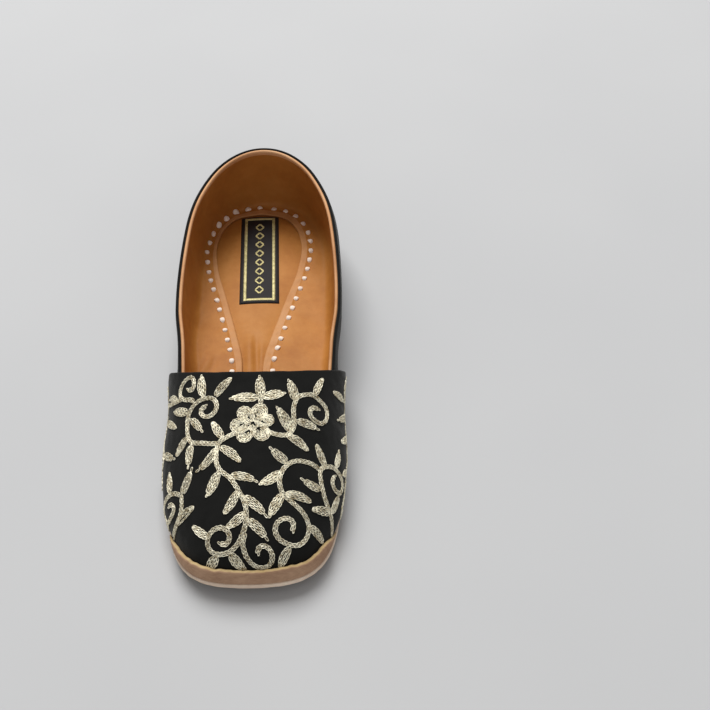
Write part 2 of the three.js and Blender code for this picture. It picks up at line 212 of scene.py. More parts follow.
OPENING_SECTIONS = SectionTable(
    ("from", "half"),
    (
        (0.0, 0.0),
        (0.012, 0.46),
        (0.035, 0.69),
        (0.1, 0.93),
        (0.17, 1.0),
        (0.26, 0.93),
        (0.4, 0.67),
        (0.55, 0.4),
        (0.68, 0.22),
        (0.9, 0.17),
        (0.985, 0.11),
        (1.0, 0.0),
    ),
)


@dataclass
class Last:
    """The form that the shoe is made on, with the sizes that its pieces share.

    Its surface has two measures: s goes round the feather line from the middle of the toe (0) to
    the middle of the heel (1) on the right side, and v goes up from that line (0) to the middle
    line on top (1).
    """

    sole_length: float = 254.5
    ball_width: float = 83.0
    waist_width: float = 76.0
    heel_width: float = 77.0
    outsole_thickness: float = 3.5
    toe_spring: float = 5.0
    arch_rise: float = 1.3
    sole_margin: float = 0.4
    inside_rise: float = 42.5
    throat_height: float = 46.0
    throat_along: float = 91.0
    throat_rake: float = math.radians(39)
    heel_height: float = 54.5
    toe_fan: float = 28.0
    heel_fan: float = 24.0
    fan_reach: float = 2.2
    fan_spread: float = 0.32
    side_swell: float = 10.5
    vamp_wall: float = 1.5
    rand_wall: float = 2.0
    clearance: float = 0.3
    rand_end: Pair = (0.055, 0.15)
    vamp_end: Pair = (0.47, 0.56)
    level_rows: float = 0.09
    toe_y: float = -127.5
    toe_squareness: float = 0.72
    heel_squareness: float = 0.6
    outline_steps: int = 500
    outline_table: Array = field(default=None, repr=False)

    def __post_init__(self) -> None:
        """Takes the length, width and place from the frame, and lays out the outline."""
        low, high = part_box("outsole")
        self.sole_length = (high.y - low.y) / MM
        self.ball_width = (high.x - low.x) / MM
        self.toe_y = low.y / MM
        self.outline_table = self._outline()

    def _outline(self) -> Array:
        """Half of the sole's outline as rows of share, half width, along and outward direction.

        Returns:
            The rows, from the toe to the heel.
        """
        length = self.sole_length
        ball, waist, heel = self.ball_width / 2, self.waist_width / 2, self.heel_width / 2
        toe, back = (self.toe_squareness * ball, 0), (self.heel_squareness * heel, length)
        wide, narrow, rear = (ball, 0.245 * length), (waist, 0.53 * length), (heel, 0.8 * length)
        corners = [
            [(0, 0), toe, (ball, 0.032 * length), wide],
            [wide, (ball, 0.345 * length), (waist, 0.42 * length), narrow],
            [narrow, (waist, 0.63 * length), (heel, 0.71 * length), rear],
            [rear, (heel, 0.925 * length), back, (0, length)],
        ]
        t = np.linspace(0, 1, self.outline_steps)[:, None]
        points, tangents = [], []
        for a, b, c, d in np.array(corners, float):
            points.append(curve(t, a, b, c, d))
            tangents.append((1 - t) ** 2 * (b - a) + 2 * (1 - t) * t * (c - b) + t**2 * (d - c))
        points, tangents = np.vstack(points), unit(np.vstack(tangents))
        gone = way_gone(points)
        keep = np.concatenate([[True], np.diff(gone) > 1e-9])
        normals = np.stack([tangents[:, 1], -tangents[:, 0]], 1)
        return np.column_stack([gone / gone[-1], points, normals])[keep]

    def half_length(self) -> float:
        """Length of half the outline."""
        return float(way_gone(self.outline_table[:, 1:3])[-1])

    def outline(self, s: Array, inset: float | Array = 0.0) -> tuple[Array, Array]:
        """Points of the sole's outline, and their outward directions.

        Args:
            s: Shares of the way round.
            inset: Distance in from the outline.

        Returns:
            Plan points and plan directions, each as an array of pairs.
        """
        table = self.outline_table
        read = read_off(s, table[:, 0], table[:, 1:])
        plan, normal = read[..., :2], unit(read[..., 2:])
        plan = plan - normal * np.asarray(inset)[..., None]
        on_middle = (np.asarray(s) <= 0) | (np.asarray(s) >= 1)
        plan[..., 0] = np.where(on_middle, 0.0, plan[..., 0])
        return plan, normal

    def underside(self, along: Array) -> Array:
        """Height of the sole's underside above the floor.

        Args:
            along: Distances from the front of the toe.

        Returns:
            The heights.
        """
        share = np.clip(np.asarray(along) / self.sole_length, 0, 1)
        spring = UNDERSIDE_SECTIONS.value("spring", share) * self.toe_spring
        return spring + UNDERSIDE_SECTIONS.value("arch", share) * self.arch_rise

    def feather_height(self, along: Array) -> Array:
        """Height at which the upper meets the sole."""
        return self.underside(along) + self.outsole_thickness + self.clearance

    def rand_share(self, along: Array) -> Array:
        """Share of the rand's wall that is left at a distance from the toe."""
        return 1 - smooth_step(np.asarray(along) / self.sole_length, *self.rand_end)

    def foot(self, s: Array) -> tuple[Array, Array]:
        """Points of the feather line, and their outward directions in plan.

        Args:
            s: Places round the feather line.

        Returns:
            The points and the directions.
        """
        along = self.outline(s)[0][..., 1]
        rand = self.rand_share(along) * (self.rand_wall + self.clearance)
        under_vamp = 1 - smooth_step(along / self.sole_length, *self.vamp_end)
        vamp = under_vamp * (self.vamp_wall + self.clearance)
        plan, normal = self.outline(s, self.sole_margin + rand + vamp)
        return np.concatenate([plan, self.feather_height(plan[..., 1])[..., None]], -1), normal

    def spine_height(self, along: Array) -> Array:
        """Height of the last's middle line above the floor."""
        rise = LAST_SECTIONS.value("spine", along / self.sole_length) * self.inside_rise
        return self.feather_height(along) + rise

    def point(self, s: Array, v: Array) -> Array:
        """Points on the outside of the last.

        Args:
            s: Shares of the way round the feather line.
            v: Shares of the way up to the middle line.

        Returns:
            Points, in millimetres.
        """
        s, v = np.broadcast_arrays(np.asarray(s, float), np.asarray(v, float))
        foot, normal = self.foot(s)
        share = foot[..., 1] / self.sole_length
        toe = self.toe_fan + self.fan_spread * foot[..., 0] ** 2 / (self.ball_width / 2)
        toe_share = 1 - smooth_step(foot[..., 1], 0, self.fan_reach * self.toe_fan)
        from_heel = self.sole_length - foot[..., 1]
        heel_share = 1 - smooth_step(from_heel, 0, self.fan_reach * self.heel_fan)
        spine_along = foot[..., 1] + toe_share * toe - heel_share * self.heel_fan
        spine_z = self.spine_height(spine_along)
        spine = np.stack([np.zeros_like(spine_z), spine_along, spine_z], -1)
        slope = self.spine_height(spine_along + 0.5) - self.spine_height(spine_along - 0.5)
        swell = LAST_SECTIONS.value("swell", share) * self.side_swell
        rise = LAST_SECTIONS.value("rise", share) * (spine_z - foot[..., 2])
        lower = foot + np.stack([normal[..., 0] * swell, normal[..., 1] * swell, rise], -1)
        back = foot[..., 1] - spine_along
        shoulder = LAST_SECTIONS.value("shoulder", share)
        rear = shoulder * back
        upper = np.stack([shoulder * foot[..., 0], spine_along + rear, spine_z + rear * slope], -1)
        t = v[..., None]
        out = curve(t, foot, lower, upper, spine)
        out[..., 0] = np.where((s <= 0) | (s >= 1) | (v >= 1), 0.0, out[..., 0])
        return out

    def normal(self, s: Array, v: Array) -> Array:
        """Outward directions of the last's surface, level at the feather line.

        Args:
            s: Places round the feather line.
            v: Places up the wall.

        Returns:
            The directions.
        """
        s, v = np.broadcast_arrays(np.asarray(s, float), np.asarray(v, float))
        step = 1e-3
        near = np.clip(s, 2 * step, 1 - 2 * step)
        below = np.minimum(v, 1 - 2 * step)
        around = self.point(near + step, below) - self.point(near - step, below)
        up = self.point(near, below + step) - self.point(near, np.maximum(below - step, 0))
        normal = np.cross(around, up)
        normal[..., 0] = np.where((s <= 0) | (s >= 1) | (v >= 1), 0.0, normal[..., 0])
        normal = unit(normal)
        normal[..., 2] *= np.clip(v / self.level_rows, 0, 1)
        return unit(normal)

    def offset(self, s: Array, v: Array, distance: float | Array) -> Array:
        """Points off the last's surface, whose feet follow the sole up and down.

        Args:
            s: Shares of the way round the feather line.
            v: Shares of the way up to the middle line.
            distance: How far outside the surface they lie.

        Returns:
            Points, in millimetres.
        """
        base = self.point(s, v)
        out = base + self.normal(s, v) * np.asarray(distance)[..., None]
        footing = np.clip(1 - np.broadcast_to(v, base.shape[:-1]) / self.level_rows, 0, 1)
        sunk = self.feather_height(out[..., 1]) - self.feather_height(base[..., 1])
        out[..., 2] += footing * sunk
        return out

    @staticmethod
    def solve(
        measure: Callable[[Array], Array], shape: tuple[int, ...], high: float = 1.0
    ) -> Array:
        """Values where a rising measure passes zero.

        Args:
            measure: Takes an array of values and gives the measure at each.
            shape: Shape of that array.
            high: Largest value looked at.

        Returns:
            The values found.
        """
        low, top = np.zeros(shape), np.full(shape, high)
        for _ in range(36):
            middle = (low + top) / 2
            over = measure(middle) > 0
            top = np.where(over, middle, top)
            low = np.where(over, low, middle)
        return (low + top) / 2

    def throat_share(self, v: Array, setback: float) -> Array:
        """Where rows of the surface meet the throat's raked plane, set back towards the toe.

        Args:
            v: Places up the wall.
            setback: Distance from the throat's plane towards the toe.

        Returns:
            Places round the feather line, one for each row.
        """
        v = np.asarray(v, float)

        def past(s: Array) -> Array:
            """How far the surface is past the plane."""
            point = self.point(s, v)
            lean = math.tan(self.throat_rake) * (self.throat_height - point[..., 2])
            return point[..., 1] - self.throat_along + setback - lean

        return self.solve(past, v.shape)

    def collar_share(self, s: Array) -> Array:
        """How far up the wall the collar's line runs.

        Args:
            s: Places round the feather line.

        Returns:
            Places up the wall.
        """
        s = np.asarray(s, float)

        def above(v: Array) -> Array:
            """How far the surface is above the line."""
            point = self.point(s, v)
            share = np.clip(point[..., 1] / self.sole_length, 0, 1)
            return point[..., 2] - COLLAR_SECTIONS.value("height", share) * self.heel_height

        return self.solve(above, s.shape)

    def collar_corner(self, setback: float) -> float:
        """Share of the wall's height at which the collar meets the throat.

        Args:
            setback: Distance from the throat's plane towards the toe.

        Returns:
            The share.
        """
        v = np.array(0.4)
        for _ in range(30):
            v = self.collar_share(self.throat_share(v, setback))
        return float(v)

    def share_at_rise(self, s: Array, rise: float | Array) -> Array:
        """How far up the wall a given height above the feather line is.

        Args:
            s: Places round the feather line.
            rise: Heights above the feather line.

        Returns:
            Places up the wall.
        """
        s = np.asarray(s, float)
        foot = self.foot(s)[0][..., 2]
        return self.solve(lambda v: self.point(s, v)[..., 2] - foot - rise, s.shape, 0.8)


@dataclass(frozen=True)
class Crease:
    """A soft trough (depth under 0) or ridge (depth over 0) along a line in plan."""

    start: Pair
    end: Pair
    width: float
    depth: float

    def lift(self, points: Array) -> Array:
        """How far the crease lifts some points.

        Args:
            points: Points in millimetres. Only x and along count.

        Returns:
            Heights in millimetres.
        """
        a, b = np.array(self.start), np.array(self.end)
        run = b - a
        t = ((points[..., :2] - a) @ run) / (run @ run)
        near = a + np.clip(t, 0, 1)[..., None] * run
        apart = np.linalg.norm(points[..., :2] - near, axis=-1)
        taper = np.sin(np.pi * np.clip(t * 0.8 + 0.1, 0, 1))
        return self.depth * taper * np.exp(-((apart / self.width) ** 2))


def ripple(points: Array, size: float, seed: float = 0.0) -> Array:
    """Smooth unevenness, from about -1 to 1.

    Args:
        points: Points in millimetres.
        size: Width of the unevenness in millimetres.
        seed: Moves to another pattern.

    Returns:
        One value for each point.
    """
    flat = points.reshape(-1, 3) / size + seed
    values = [noise.noise(Vector(p)) for p in flat]
    return np.array(values).reshape(points.shape[:-1]) * 1.6


class MeshDraft:
    """Collects grids of points, in millimetres, and turns them into one smooth mesh."""

    def __init__(self, last: Last, name: str) -> None:
        """Starts an empty mesh.

        Args:
            last: Gives the frame's place.
            name: Name of the piece.
        """
        self.last = last
        self.name = name
        self.points: list[Array] = []
        self.faces: list[Array] = []
        self.slots: list[Array] = []
        self.count = 0

    def add(self, points: Array, faces: Array, slot: int | Array = 0) -> None:
        """Adds points and the faces between them.

        Args:
            points: Array of points.
            faces: Array of faces, as indices into points.
            slot: Material slot of the faces.
        """
        self.points.append(points.reshape(-1, 3))
        self.faces.append(faces + self.count)
        self.slots.append(np.broadcast_to(slot, (len(faces),)))
        self.count += points.reshape(-1, 3).shape[0]

    def grid(
        self, points: Array, flip: bool = False, closed: bool = False, slot: int | Array = 0
    ) -> None:
        """Adds a grid of quads.

        Args:
            points: Array of columns of points.
            flip: Turns the faces over.
            closed: Joins the last row to the first.
            slot: Material slot of the faces, or one for each row of faces.
        """
        columns, rows = points.shape[:2]
        index = np.arange(columns * rows).reshape(columns, rows)
        if closed:
            index = np.concatenate([index, index[:, :1]], 1)
        faces = np.stack([index[:-1, :-1], index[1:, :-1], index[1:, 1:], index[:-1, 1:]], -1)
        if flip:
            faces = faces[..., ::-1]
        slots = np.broadcast_to(slot, faces.shape[:2]).reshape(-1)
        self.add(points, faces.reshape(-1, 4), slots)

    def cap(self, ring: Array, flip: bool = False) -> None:
        """Closes a ring of points with a fan round its middle.

        Args:
            ring: Array of points in order.
            flip: Turns the faces over.
        """
        count = len(ring)
        points = np.vstack([ring, ring.mean(0)])
        order = np.arange(count)
        faces = np.stack([order, np.roll(order, -1), np.full(count, count)], 1)
        if flip:
            faces = faces[:, ::-1]
        self.add(points, faces)

    def loops(self, centres: Array, up: Array, radius: float, sides: int = 5) -> None:
        """Adds many closed loops of thread.

        Args:
            centres: Loops of points along the thread's middle.
            up: One direction for each loop, square to its plane.
            radius: The thread's radius.
            sides: Corners of the thread's section.
        """
        run = unit(np.roll(centres, -1, 1) - np.roll(centres, 1, 1))
        lift = unit(up[:, None] - run * (up[:, None] * run).sum(-1, keepdims=True))
        aside = np.cross(run, lift)
        turn = np.linspace(0, 2 * math.pi, sides, endpoint=False)[:, None]
        round_it = aside[:, :, None] * np.cos(turn) + lift[:, :, None] * np.sin(turn)
        ring = centres[:, :, None] + radius * round_it
        index = np.arange(ring[..., 0].size).reshape(ring.shape[:3])
        ahead = np.roll(index, -1, 1)
        faces = np.stack([index, ahead, np.roll(ahead, -1, 2), np.roll(index, -1, 2)], -1)
        self.add(ring, faces.reshape(-1, 4))

    def build(self, materials: Sequence[Material], weld: float = 0.004) -> Piece:
        """Makes the mesh's object, in metres, in the frame.

        Args:
            materials: One for each slot.
            weld: Points this close are one point.

        Returns:
            The new object, smooth shaded.
        """
        points = np.vstack(self.points)
        placed = (points + np.array([0.0, self.last.toe_y, 0.0])) * MM
        mesh = bpy.data.meshes.new(self.name)
        faces = [row for group in self.faces for row in group.tolist()]
        mesh.from_pydata(placed.tolist(), [], faces)
        mesh.polygons.foreach_set("material_index", np.concatenate(self.slots).astype(np.int32))
        for material in materials:
            mesh.materials.append(material)
        work = bmesh.new()
        work.from_mesh(mesh)
        if weld > 0:
            bmesh.ops.remove_doubles(work, verts=work.verts, dist=weld * MM)
            bmesh.ops.recalc_face_normals(work, faces=work.faces)
        for face in work.faces:
            face.smooth = True
        work.to_mesh(mesh)
        work.free()
        piece = bpy.data.objects.new(self.name, mesh)
        bpy.context.scene.collection.objects.link(piece)
        return piece


class Slot(Enum):
    """The record's material slots."""

    SOLE_LEATHER = "sole_leather"
    RAND_LEATHER = "rand_leather"
    TAN_LEATHER = "tan_leather"
    BLACK_VELVET = "black_velvet"
    LABEL_CLOTH = "label_cloth"


def fit_piece(piece: Piece, nodes: Sequence[str] = ()) -> Piece:
    """Hangs a piece on the frame.

    Args:
        piece: The new piece.
        nodes: CAD nodes that it stands for.

    Returns:
        The same piece.
    """
    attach(piece, BODY)
    if nodes:
        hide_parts(*nodes)
    log.info("%s: %d faces", piece.name, len(piece.data.polygons))
    return piece


class Recipe:
    """A material's node tree, written a node at a time."""

    def __init__(self, name: str) -> None:
        """Starts a material with a Principled shader.

        Args:
            name: Name of the material.
        """
        self.material = bpy.data.materials.new(name)
        self.material.use_nodes = True
        self.tree = self.material.node_tree
        self.shader = self.tree.nodes["Principled BSDF"]
        self.place = self.tree.nodes.new("ShaderNodeTexCoord").outputs["Object"]

    def set(self, **values: float | Colour) -> None:
        """Sets the shader's own sockets, named in lower case with underscores."""
        for name, value in values.items():
            socket = self.shader.inputs[name.replace("_", " ").title().replace("Ior", "IOR")]
            socket.default_value = (*value, 1.0) if isinstance(value, tuple) else value

    def node(
        self, kind: str, links: dict[str, Socket] | None = None, **values: object
    ) -> bpy.types.Node:
        """Adds a node.

        Args:
            kind: Blender's name of the node, without the ShaderNode at its front.
            links: Sockets to link into it, by input name.
            values: Input values by lower-case name, or properties of the node.

        Returns:
            The new node.
        """
        made = self.tree.nodes.new("ShaderNode" + kind)
        for name, value in values.items():
            title = name.replace("_", " ").title()
            if title in made.inputs:
                made.inputs[title].default_value = value
            else:
                setattr(made, name, value)
        for name, socket in (links or {}).items():
            self.tree.links.new(socket, made.inputs[name])
        return made

    def noise(
        self, scale: float, detail: float, roughness: float, stretch: Colour = (1, 1, 1)
    ) -> Socket:
        """Smooth noise in the object's own metres.

        Args:
            scale: Bumps to a metre.
            detail: Finer layers.
            roughness: Strength of the finer layers.
            stretch: Scale along each axis.

        Returns:
            The noise's value, about 0 to 1.
        """
        placed = self.node("Mapping", {"Vector": self.place}, scale=stretch)
        links = {"Vector": placed.outputs[0]}
        made = self.node("TexNoise", links, scale=scale, detail=detail, roughness=roughness)
        return made.outputs["Fac"]

    def ramp(self, value: Socket, stops: Sequence[tuple[float, Colour]]) -> Socket:
        """Colours along a value.

        Args:
            value: The value from 0 to 1.
            stops: Places and colours, from low to high.

        Returns:
            The colour socket.
        """
        made = self.node("ValToRGB", {"Fac": value})
        elements = made.color_ramp.elements
        while len(elements) < len(stops):
            elements.new(0.5)
        for element, (at, colour) in zip(elements, stops):
            element.position = at
            element.color = (*colour, 1.0)
        return made.outputs["Color"]

    def sum(self, parts: Sequence[tuple[Socket, float]]) -> Socket:
        """Weighted sum of values.

        Args:
            parts: Values with their weights.

        Returns:
            The sum's socket.
        """
        total = None
        for socket, weight in parts:
            made = self.node("Math", {0: socket}, operation="MULTIPLY_ADD")
            made.inputs[1].default_value = weight
            if total is not None:
                self.tree.links.new(total, made.inputs[2])
            else:
                made.inputs[2].default_value = 0.0
            total = made.outputs[0]
        return total

    def bump(self, height: Socket, depth: float, strength: float = 1.0) -> None:
        """Gives the surface relief.

        Args:
            height: The relief, from 0 to 1.
            depth: Its depth in millimetres.
            strength: Share of the relief that shows.
        """
        made = self.node("Bump", {"Height": height}, strength=strength, distance=depth * MM)
        self.tree.links.new(made.outputs["Normal"], self.shader.inputs["Normal"])

    def colour(self, socket: Socket) -> None:
        """Links a colour into the shader."""
        self.tree.links.new(socket, self.shader.inputs["Base Color"])

    def roughness(self, value: Socket, low: float, high: float) -> None:
        """Spreads a value over a range of roughness.

        Args:
            value: The value from 0 to 1.
            low: Roughness at 0.
            high: Roughness at 1.
        """
        made = self.node("MapRange", {"Value": value})
        made.inputs["To Min"].default_value = low
        made.inputs["To Max"].default_value = high
        self.tree.links.new(made.outputs["Result"], self.shader.inputs["Roughness"])


@dataclass(frozen=True)
class VelvetFinish:
    """Black velvet: a deep pile with a faint grey sheen where it turns away."""

    name: str = "black_velvet"
    dark: Colour = (0.0032, 0.0032, 0.003)
    light: Colour = (0.0082, 0.0082, 0.0074)
    sheen: float = 0.16
    pile: float = 2600.0
    patches: float = 70.0

    def material(self) -> Material:
        """Builds the material.

        Returns:
            The material.
        """
        recipe = Recipe(self.name)
        pile = recipe.noise(self.pile, 2.0, 0.6)
        patches = recipe.noise(self.patches, 3.0, 0.6)
        look = recipe.sum([(pile, 0.45), (patches, 0.6)])
        recipe.colour(recipe.ramp(look, [(0.33, self.dark), (0.72, self.light)]))
        recipe.set(roughness=0.92, specular_ior_level=0.18, sheen_weight=self.sheen)
        recipe.set(sheen_roughness=0.42, sheen_tint=(0.66, 0.66, 0.64))
        recipe.bump(recipe.sum([(pile, 0.7), (patches, 0.3)]), 0.22, 0.7)
        return recipe.material


@dataclass(frozen=True)
class LiningFinish:
    """Lining leather: smooth, faintly mottled, with a fine grain."""

    name: str = "tan_leather"
    deep: Colour = (0.34, 0.12, 0.022)
    body: Colour = (0.43, 0.173, 0.034)
    pale: Colour = (0.515, 0.226, 0.055)
    grain: float = 1500.0

    def material(self) -> Material:
        """Builds the material.

        Returns:
            The material.
        """
        recipe = Recipe(self.name)
        mottle = recipe.noise(38.0, 4.0, 0.55)
        fine = recipe.noise(260.0, 4.0, 0.6)
        look = recipe.sum([(mottle, 0.75), (fine, 0.25)])
        recipe.colour(recipe.ramp(look, [(0.28, self.deep), (0.52, self.body), (0.78, self.pale)]))
        links = {"Vector": recipe.place}
        cells = recipe.node("TexVoronoi", links, scale=self.grain, feature="SMOOTH_F1")
        pores = recipe.noise(self.grain * 2.2, 2.0, 0.5)
        relief = recipe.sum([(cells.outputs["Distance"], 0.6), (pores, 0.25), (fine, 0.9)])
        recipe.bump(relief, 0.12, 0.55)
        recipe.set(specular_ior_level=0.2)
        recipe.roughness(look, 0.62, 0.48)
        return recipe.material


@dataclass(frozen=True)
class SoleFinish:
    """Vegetable-tanned sole leather: fibres on the cut edge, and scuffs underneath."""

    name: str
    deep: Colour
    pale: Colour
    fibre: Colour = (1.0, 1.0, 7.0)
    rough: float = 0.8

    def material(self) -> Material:
        """Builds the material.

        Returns:
            The material.
        """
        recipe = Recipe(self.name)
        fibres = recipe.noise(420.0, 5.0, 0.65, self.fibre)
        stains = recipe.noise(60.0, 4.0, 0.6)
        scuffs = recipe.noise(150.0, 3.0, 0.55, (1.0, 6.0, 1.0))
        look = recipe.sum([(fibres, 0.35), (stains, 0.45), (scuffs, 0.2)])
        recipe.colour(recipe.ramp(look, [(0.3, self.deep), (0.7, self.pale)]))
        recipe.bump(recipe.sum([(fibres, 0.7), (scuffs, 0.5)]), 0.3, 0.6)
        recipe.set(specular_ior_level=0.3)
        recipe.roughness(look, self.rough + 0.08, self.rough - 0.1)
        return recipe.material


@dataclass(frozen=True)
class ThreadFinish:
    """Twisted thread, from dull cotton to bright metal-wrapped zari."""

    name: str
    dark: Colour
    pale: Colour
    metal: float
    rough: float
    twist: float = 2600.0

    def material(self) -> Material:
        """Builds the material.

        Returns:
            The material.
        """
        recipe = Recipe(self.name)
        strands = recipe.noise(self.twist, 2.0, 0.5)
        # Patches about 2.4 mm across make some lengths of thread paler and some darker: random tone
        # on the cotton and the label's gold, and on the zari also painted glints, link by link.
        tone_and_glints = recipe.noise(420.0, 3.0, 0.6)
        look = recipe.sum([(strands, 0.5), (tone_and_glints, 0.5)])
        recipe.colour(recipe.ramp(look, [(0.36, self.dark), (0.56, self.pale)]))
        recipe.bump(strands, 0.1, 0.6)
        recipe.set(metallic=self.metal, roughness=self.rough, specular_ior_level=0.45)
        return recipe.material


@dataclass(frozen=True)
class LabelFinish:
    """Black woven patch with a fine satin weave."""

    name: str = "label_cloth"
    dark: Colour = (0.005, 0.004, 0.005)
    light: Colour = (0.018, 0.015, 0.016)

    def material(self) -> Material:
        """Builds the material.

        Returns:
            The material.
        """
        recipe = Recipe(self.name)
        weft = recipe.node("TexWave", {"Vector": recipe.place}, scale=640.0, bands_direction="Y")
        warp = recipe.node("TexWave", {"Vector": recipe.place}, scale=900.0, bands_direction="X")
        weave = recipe.sum([(weft.outputs["Fac"], 0.6), (warp.outputs["Fac"], 0.4)])
        recipe.colour(recipe.ramp(weave, [(0.2, self.dark), (0.85, self.light)]))
        recipe.bump(weave, 0.12, 0.5)
        recipe.set(roughness=0.62, specular_ior_level=0.25, sheen_weight=0.04)
        return recipe.material


@dataclass(frozen=True)
class FloorFinish:
    """Plain pale studio floor."""

    name: str = "studio_floor"
    low: Colour = (0.475, 0.48, 0.49)
    high: Colour = (0.50, 0.505, 0.512)

    def material(self) -> Material:
        """Builds the material.

        Returns:
            The material.
        """
        recipe = Recipe(self.name)
        recipe.colour(recipe.ramp(recipe.noise(3.0, 2.6, 0.8), [(0.3, self.low), (0.7, self.high)]))
        recipe.set(roughness=0.9, specular_ior_level=0.2)
        return recipe.material


@dataclass
class FinishSet:
    """Every finish of the shoe, made once."""

    velvet: Material = field(default_factory=VelvetFinish().material)
    lining: Material = field(default_factory=LiningFinish().material)
    # Paler, pinker copy of the lining for the band between the stitches and the cut edge: the pink
    # is the band's own tone, the extra lightness is painted highlight on the raised band.
    margin_tone_and_highlight: Material = field(
        default_factory=LiningFinish(
            "margin_tone_and_highlight", (0.42, 0.18, 0.06), (0.50, 0.238, 0.088), (0.58, 0.30, 0.13)
        ).material
    )
    lip: Material = field(
        default_factory=LiningFinish(
            "collar_lip", (0.46, 0.21, 0.09), (0.62, 0.33, 0.16), (0.72, 0.43, 0.23)
        ).material
    )
    label: Material = field(default_factory=LabelFinish().material)
    rand: Material = field(
        default_factory=SoleFinish(
            "rand_leather", (0.25, 0.128, 0.072), (0.58, 0.375, 0.24)
        ).material
    )
    cut_edge: Material = field(
        default_factory=SoleFinish("rand_cut_edge", (0.33, 0.22, 0.09), (0.60, 0.45, 0.24)).material
    )
    sole_edge: Material = field(
        default_factory=SoleFinish("sole_leather", (0.66, 0.48, 0.36), (0.97, 0.82, 0.66)).material
    )
    sole_under: Material = field(
        default_factory=SoleFinish(
            "sole_underside", (0.30, 0.17, 0.09), (0.52, 0.34, 0.20), (1.0, 1.0, 1.0)
        ).material
    )
    zari: Material = field(
        default_factory=ThreadFinish(
            "zari_thread", (0.31, 0.235, 0.11), (1.0, 0.95, 0.76), 0.4, 0.36, 1300.0
        ).material
    )
    cotton: Material = field(
        default_factory=ThreadFinish(
            "cotton_thread", (0.76, 0.62, 0.52), (0.93, 0.82, 0.73), 0.0, 0.8
        ).material
    )
    label_gold: Material = field(
        default_factory=ThreadFinish(
            "label_gold", (0.26, 0.23, 0.085), (0.62, 0.55, 0.26), 0.2, 0.5
        ).material
    )


def rounded_rim(start: Array, end: Array, outward: Array, steps: int, fullness: float) -> Array:
    """A half round from one edge of a wall to the other.

    Args:
        start: Points on the first edge.
        end: Points on the second edge.
        outward: Directions in which the rim bulges.
        steps: Points between the edges.
        fullness: Height of the bulge, as a share of half the wall.

    Returns:
        Array of the points in between, with the steps as its second axis.
    """
    turn = np.linspace(0, math.pi, steps + 2)[1:-1]
    middle = (start + end) / 2
    half = (start - end) / 2
    reach = np.linalg.norm(half, axis=-1, keepdims=True) * fullness
    return np.stack([middle + half * math.cos(a) + outward * reach * math.sin(a) for a in turn], 1)


@dataclass
class Outsole:
    """The flat leather sole, with its light cut edge and a scuffed underside."""

    last: Last
    finishes: FinishSet
    columns: int = 260
    rows_across: int = 12
    roughness_of_cut: float = 0.12
    edge: tuple[Pair, ...] = (
        (1.0, 0.14), (0.94, 0.04), (0.82, 0.0), (0.6, 0.012),
        (0.38, 0.0), (0.2, 0.03), (0.07, 0.1), (0.0, 0.2),
    )

    def build(self) -> Piece:
        """Builds the sole.

        Returns:
            The piece, in place of the outsole's node.
        """
        last = self.last
        s = np.linspace(0, 1, self.columns + 1)
        rows = []
        for level, inset in self.edge:
            plan, normal = last.outline(s, inset * last.outsole_thickness)
            z = last.underside(plan[:, 1]) + level * last.outsole_thickness
            point = np.column_stack([plan, z])
            uneven = ripple(point, 3.2, 5.0) * self.roughness_of_cut * (0 < level < 1)
            point[:, :2] += normal * np.minimum(uneven, 0.05)[:, None]
            point[:, 0] = np.where((s <= 0) | (s >= 1), 0.0, point[:, 0])
            rows.append(point)
        band = np.stack(rows, 1)
        draft = MeshDraft(last, "sole")
        for side in (band, mirrored(band)):
            draft.grid(side, slot=0)
            for row, slot in ((0, 0), (-1, 1)):
                share = np.linspace(1, 0, self.rows_across)[None, :, None]
                across = side[:, row][:, None, :] * np.array([1.0, 0, 0]) * share
                flat = across + side[:, row][:, None, :] * np.array([0, 1.0, 1.0])
                draft.grid(flat, slot=slot)
        piece = draft.build([self.finishes.sole_edge, self.finishes.sole_under])
        return fit_piece(piece, ["outsole"])


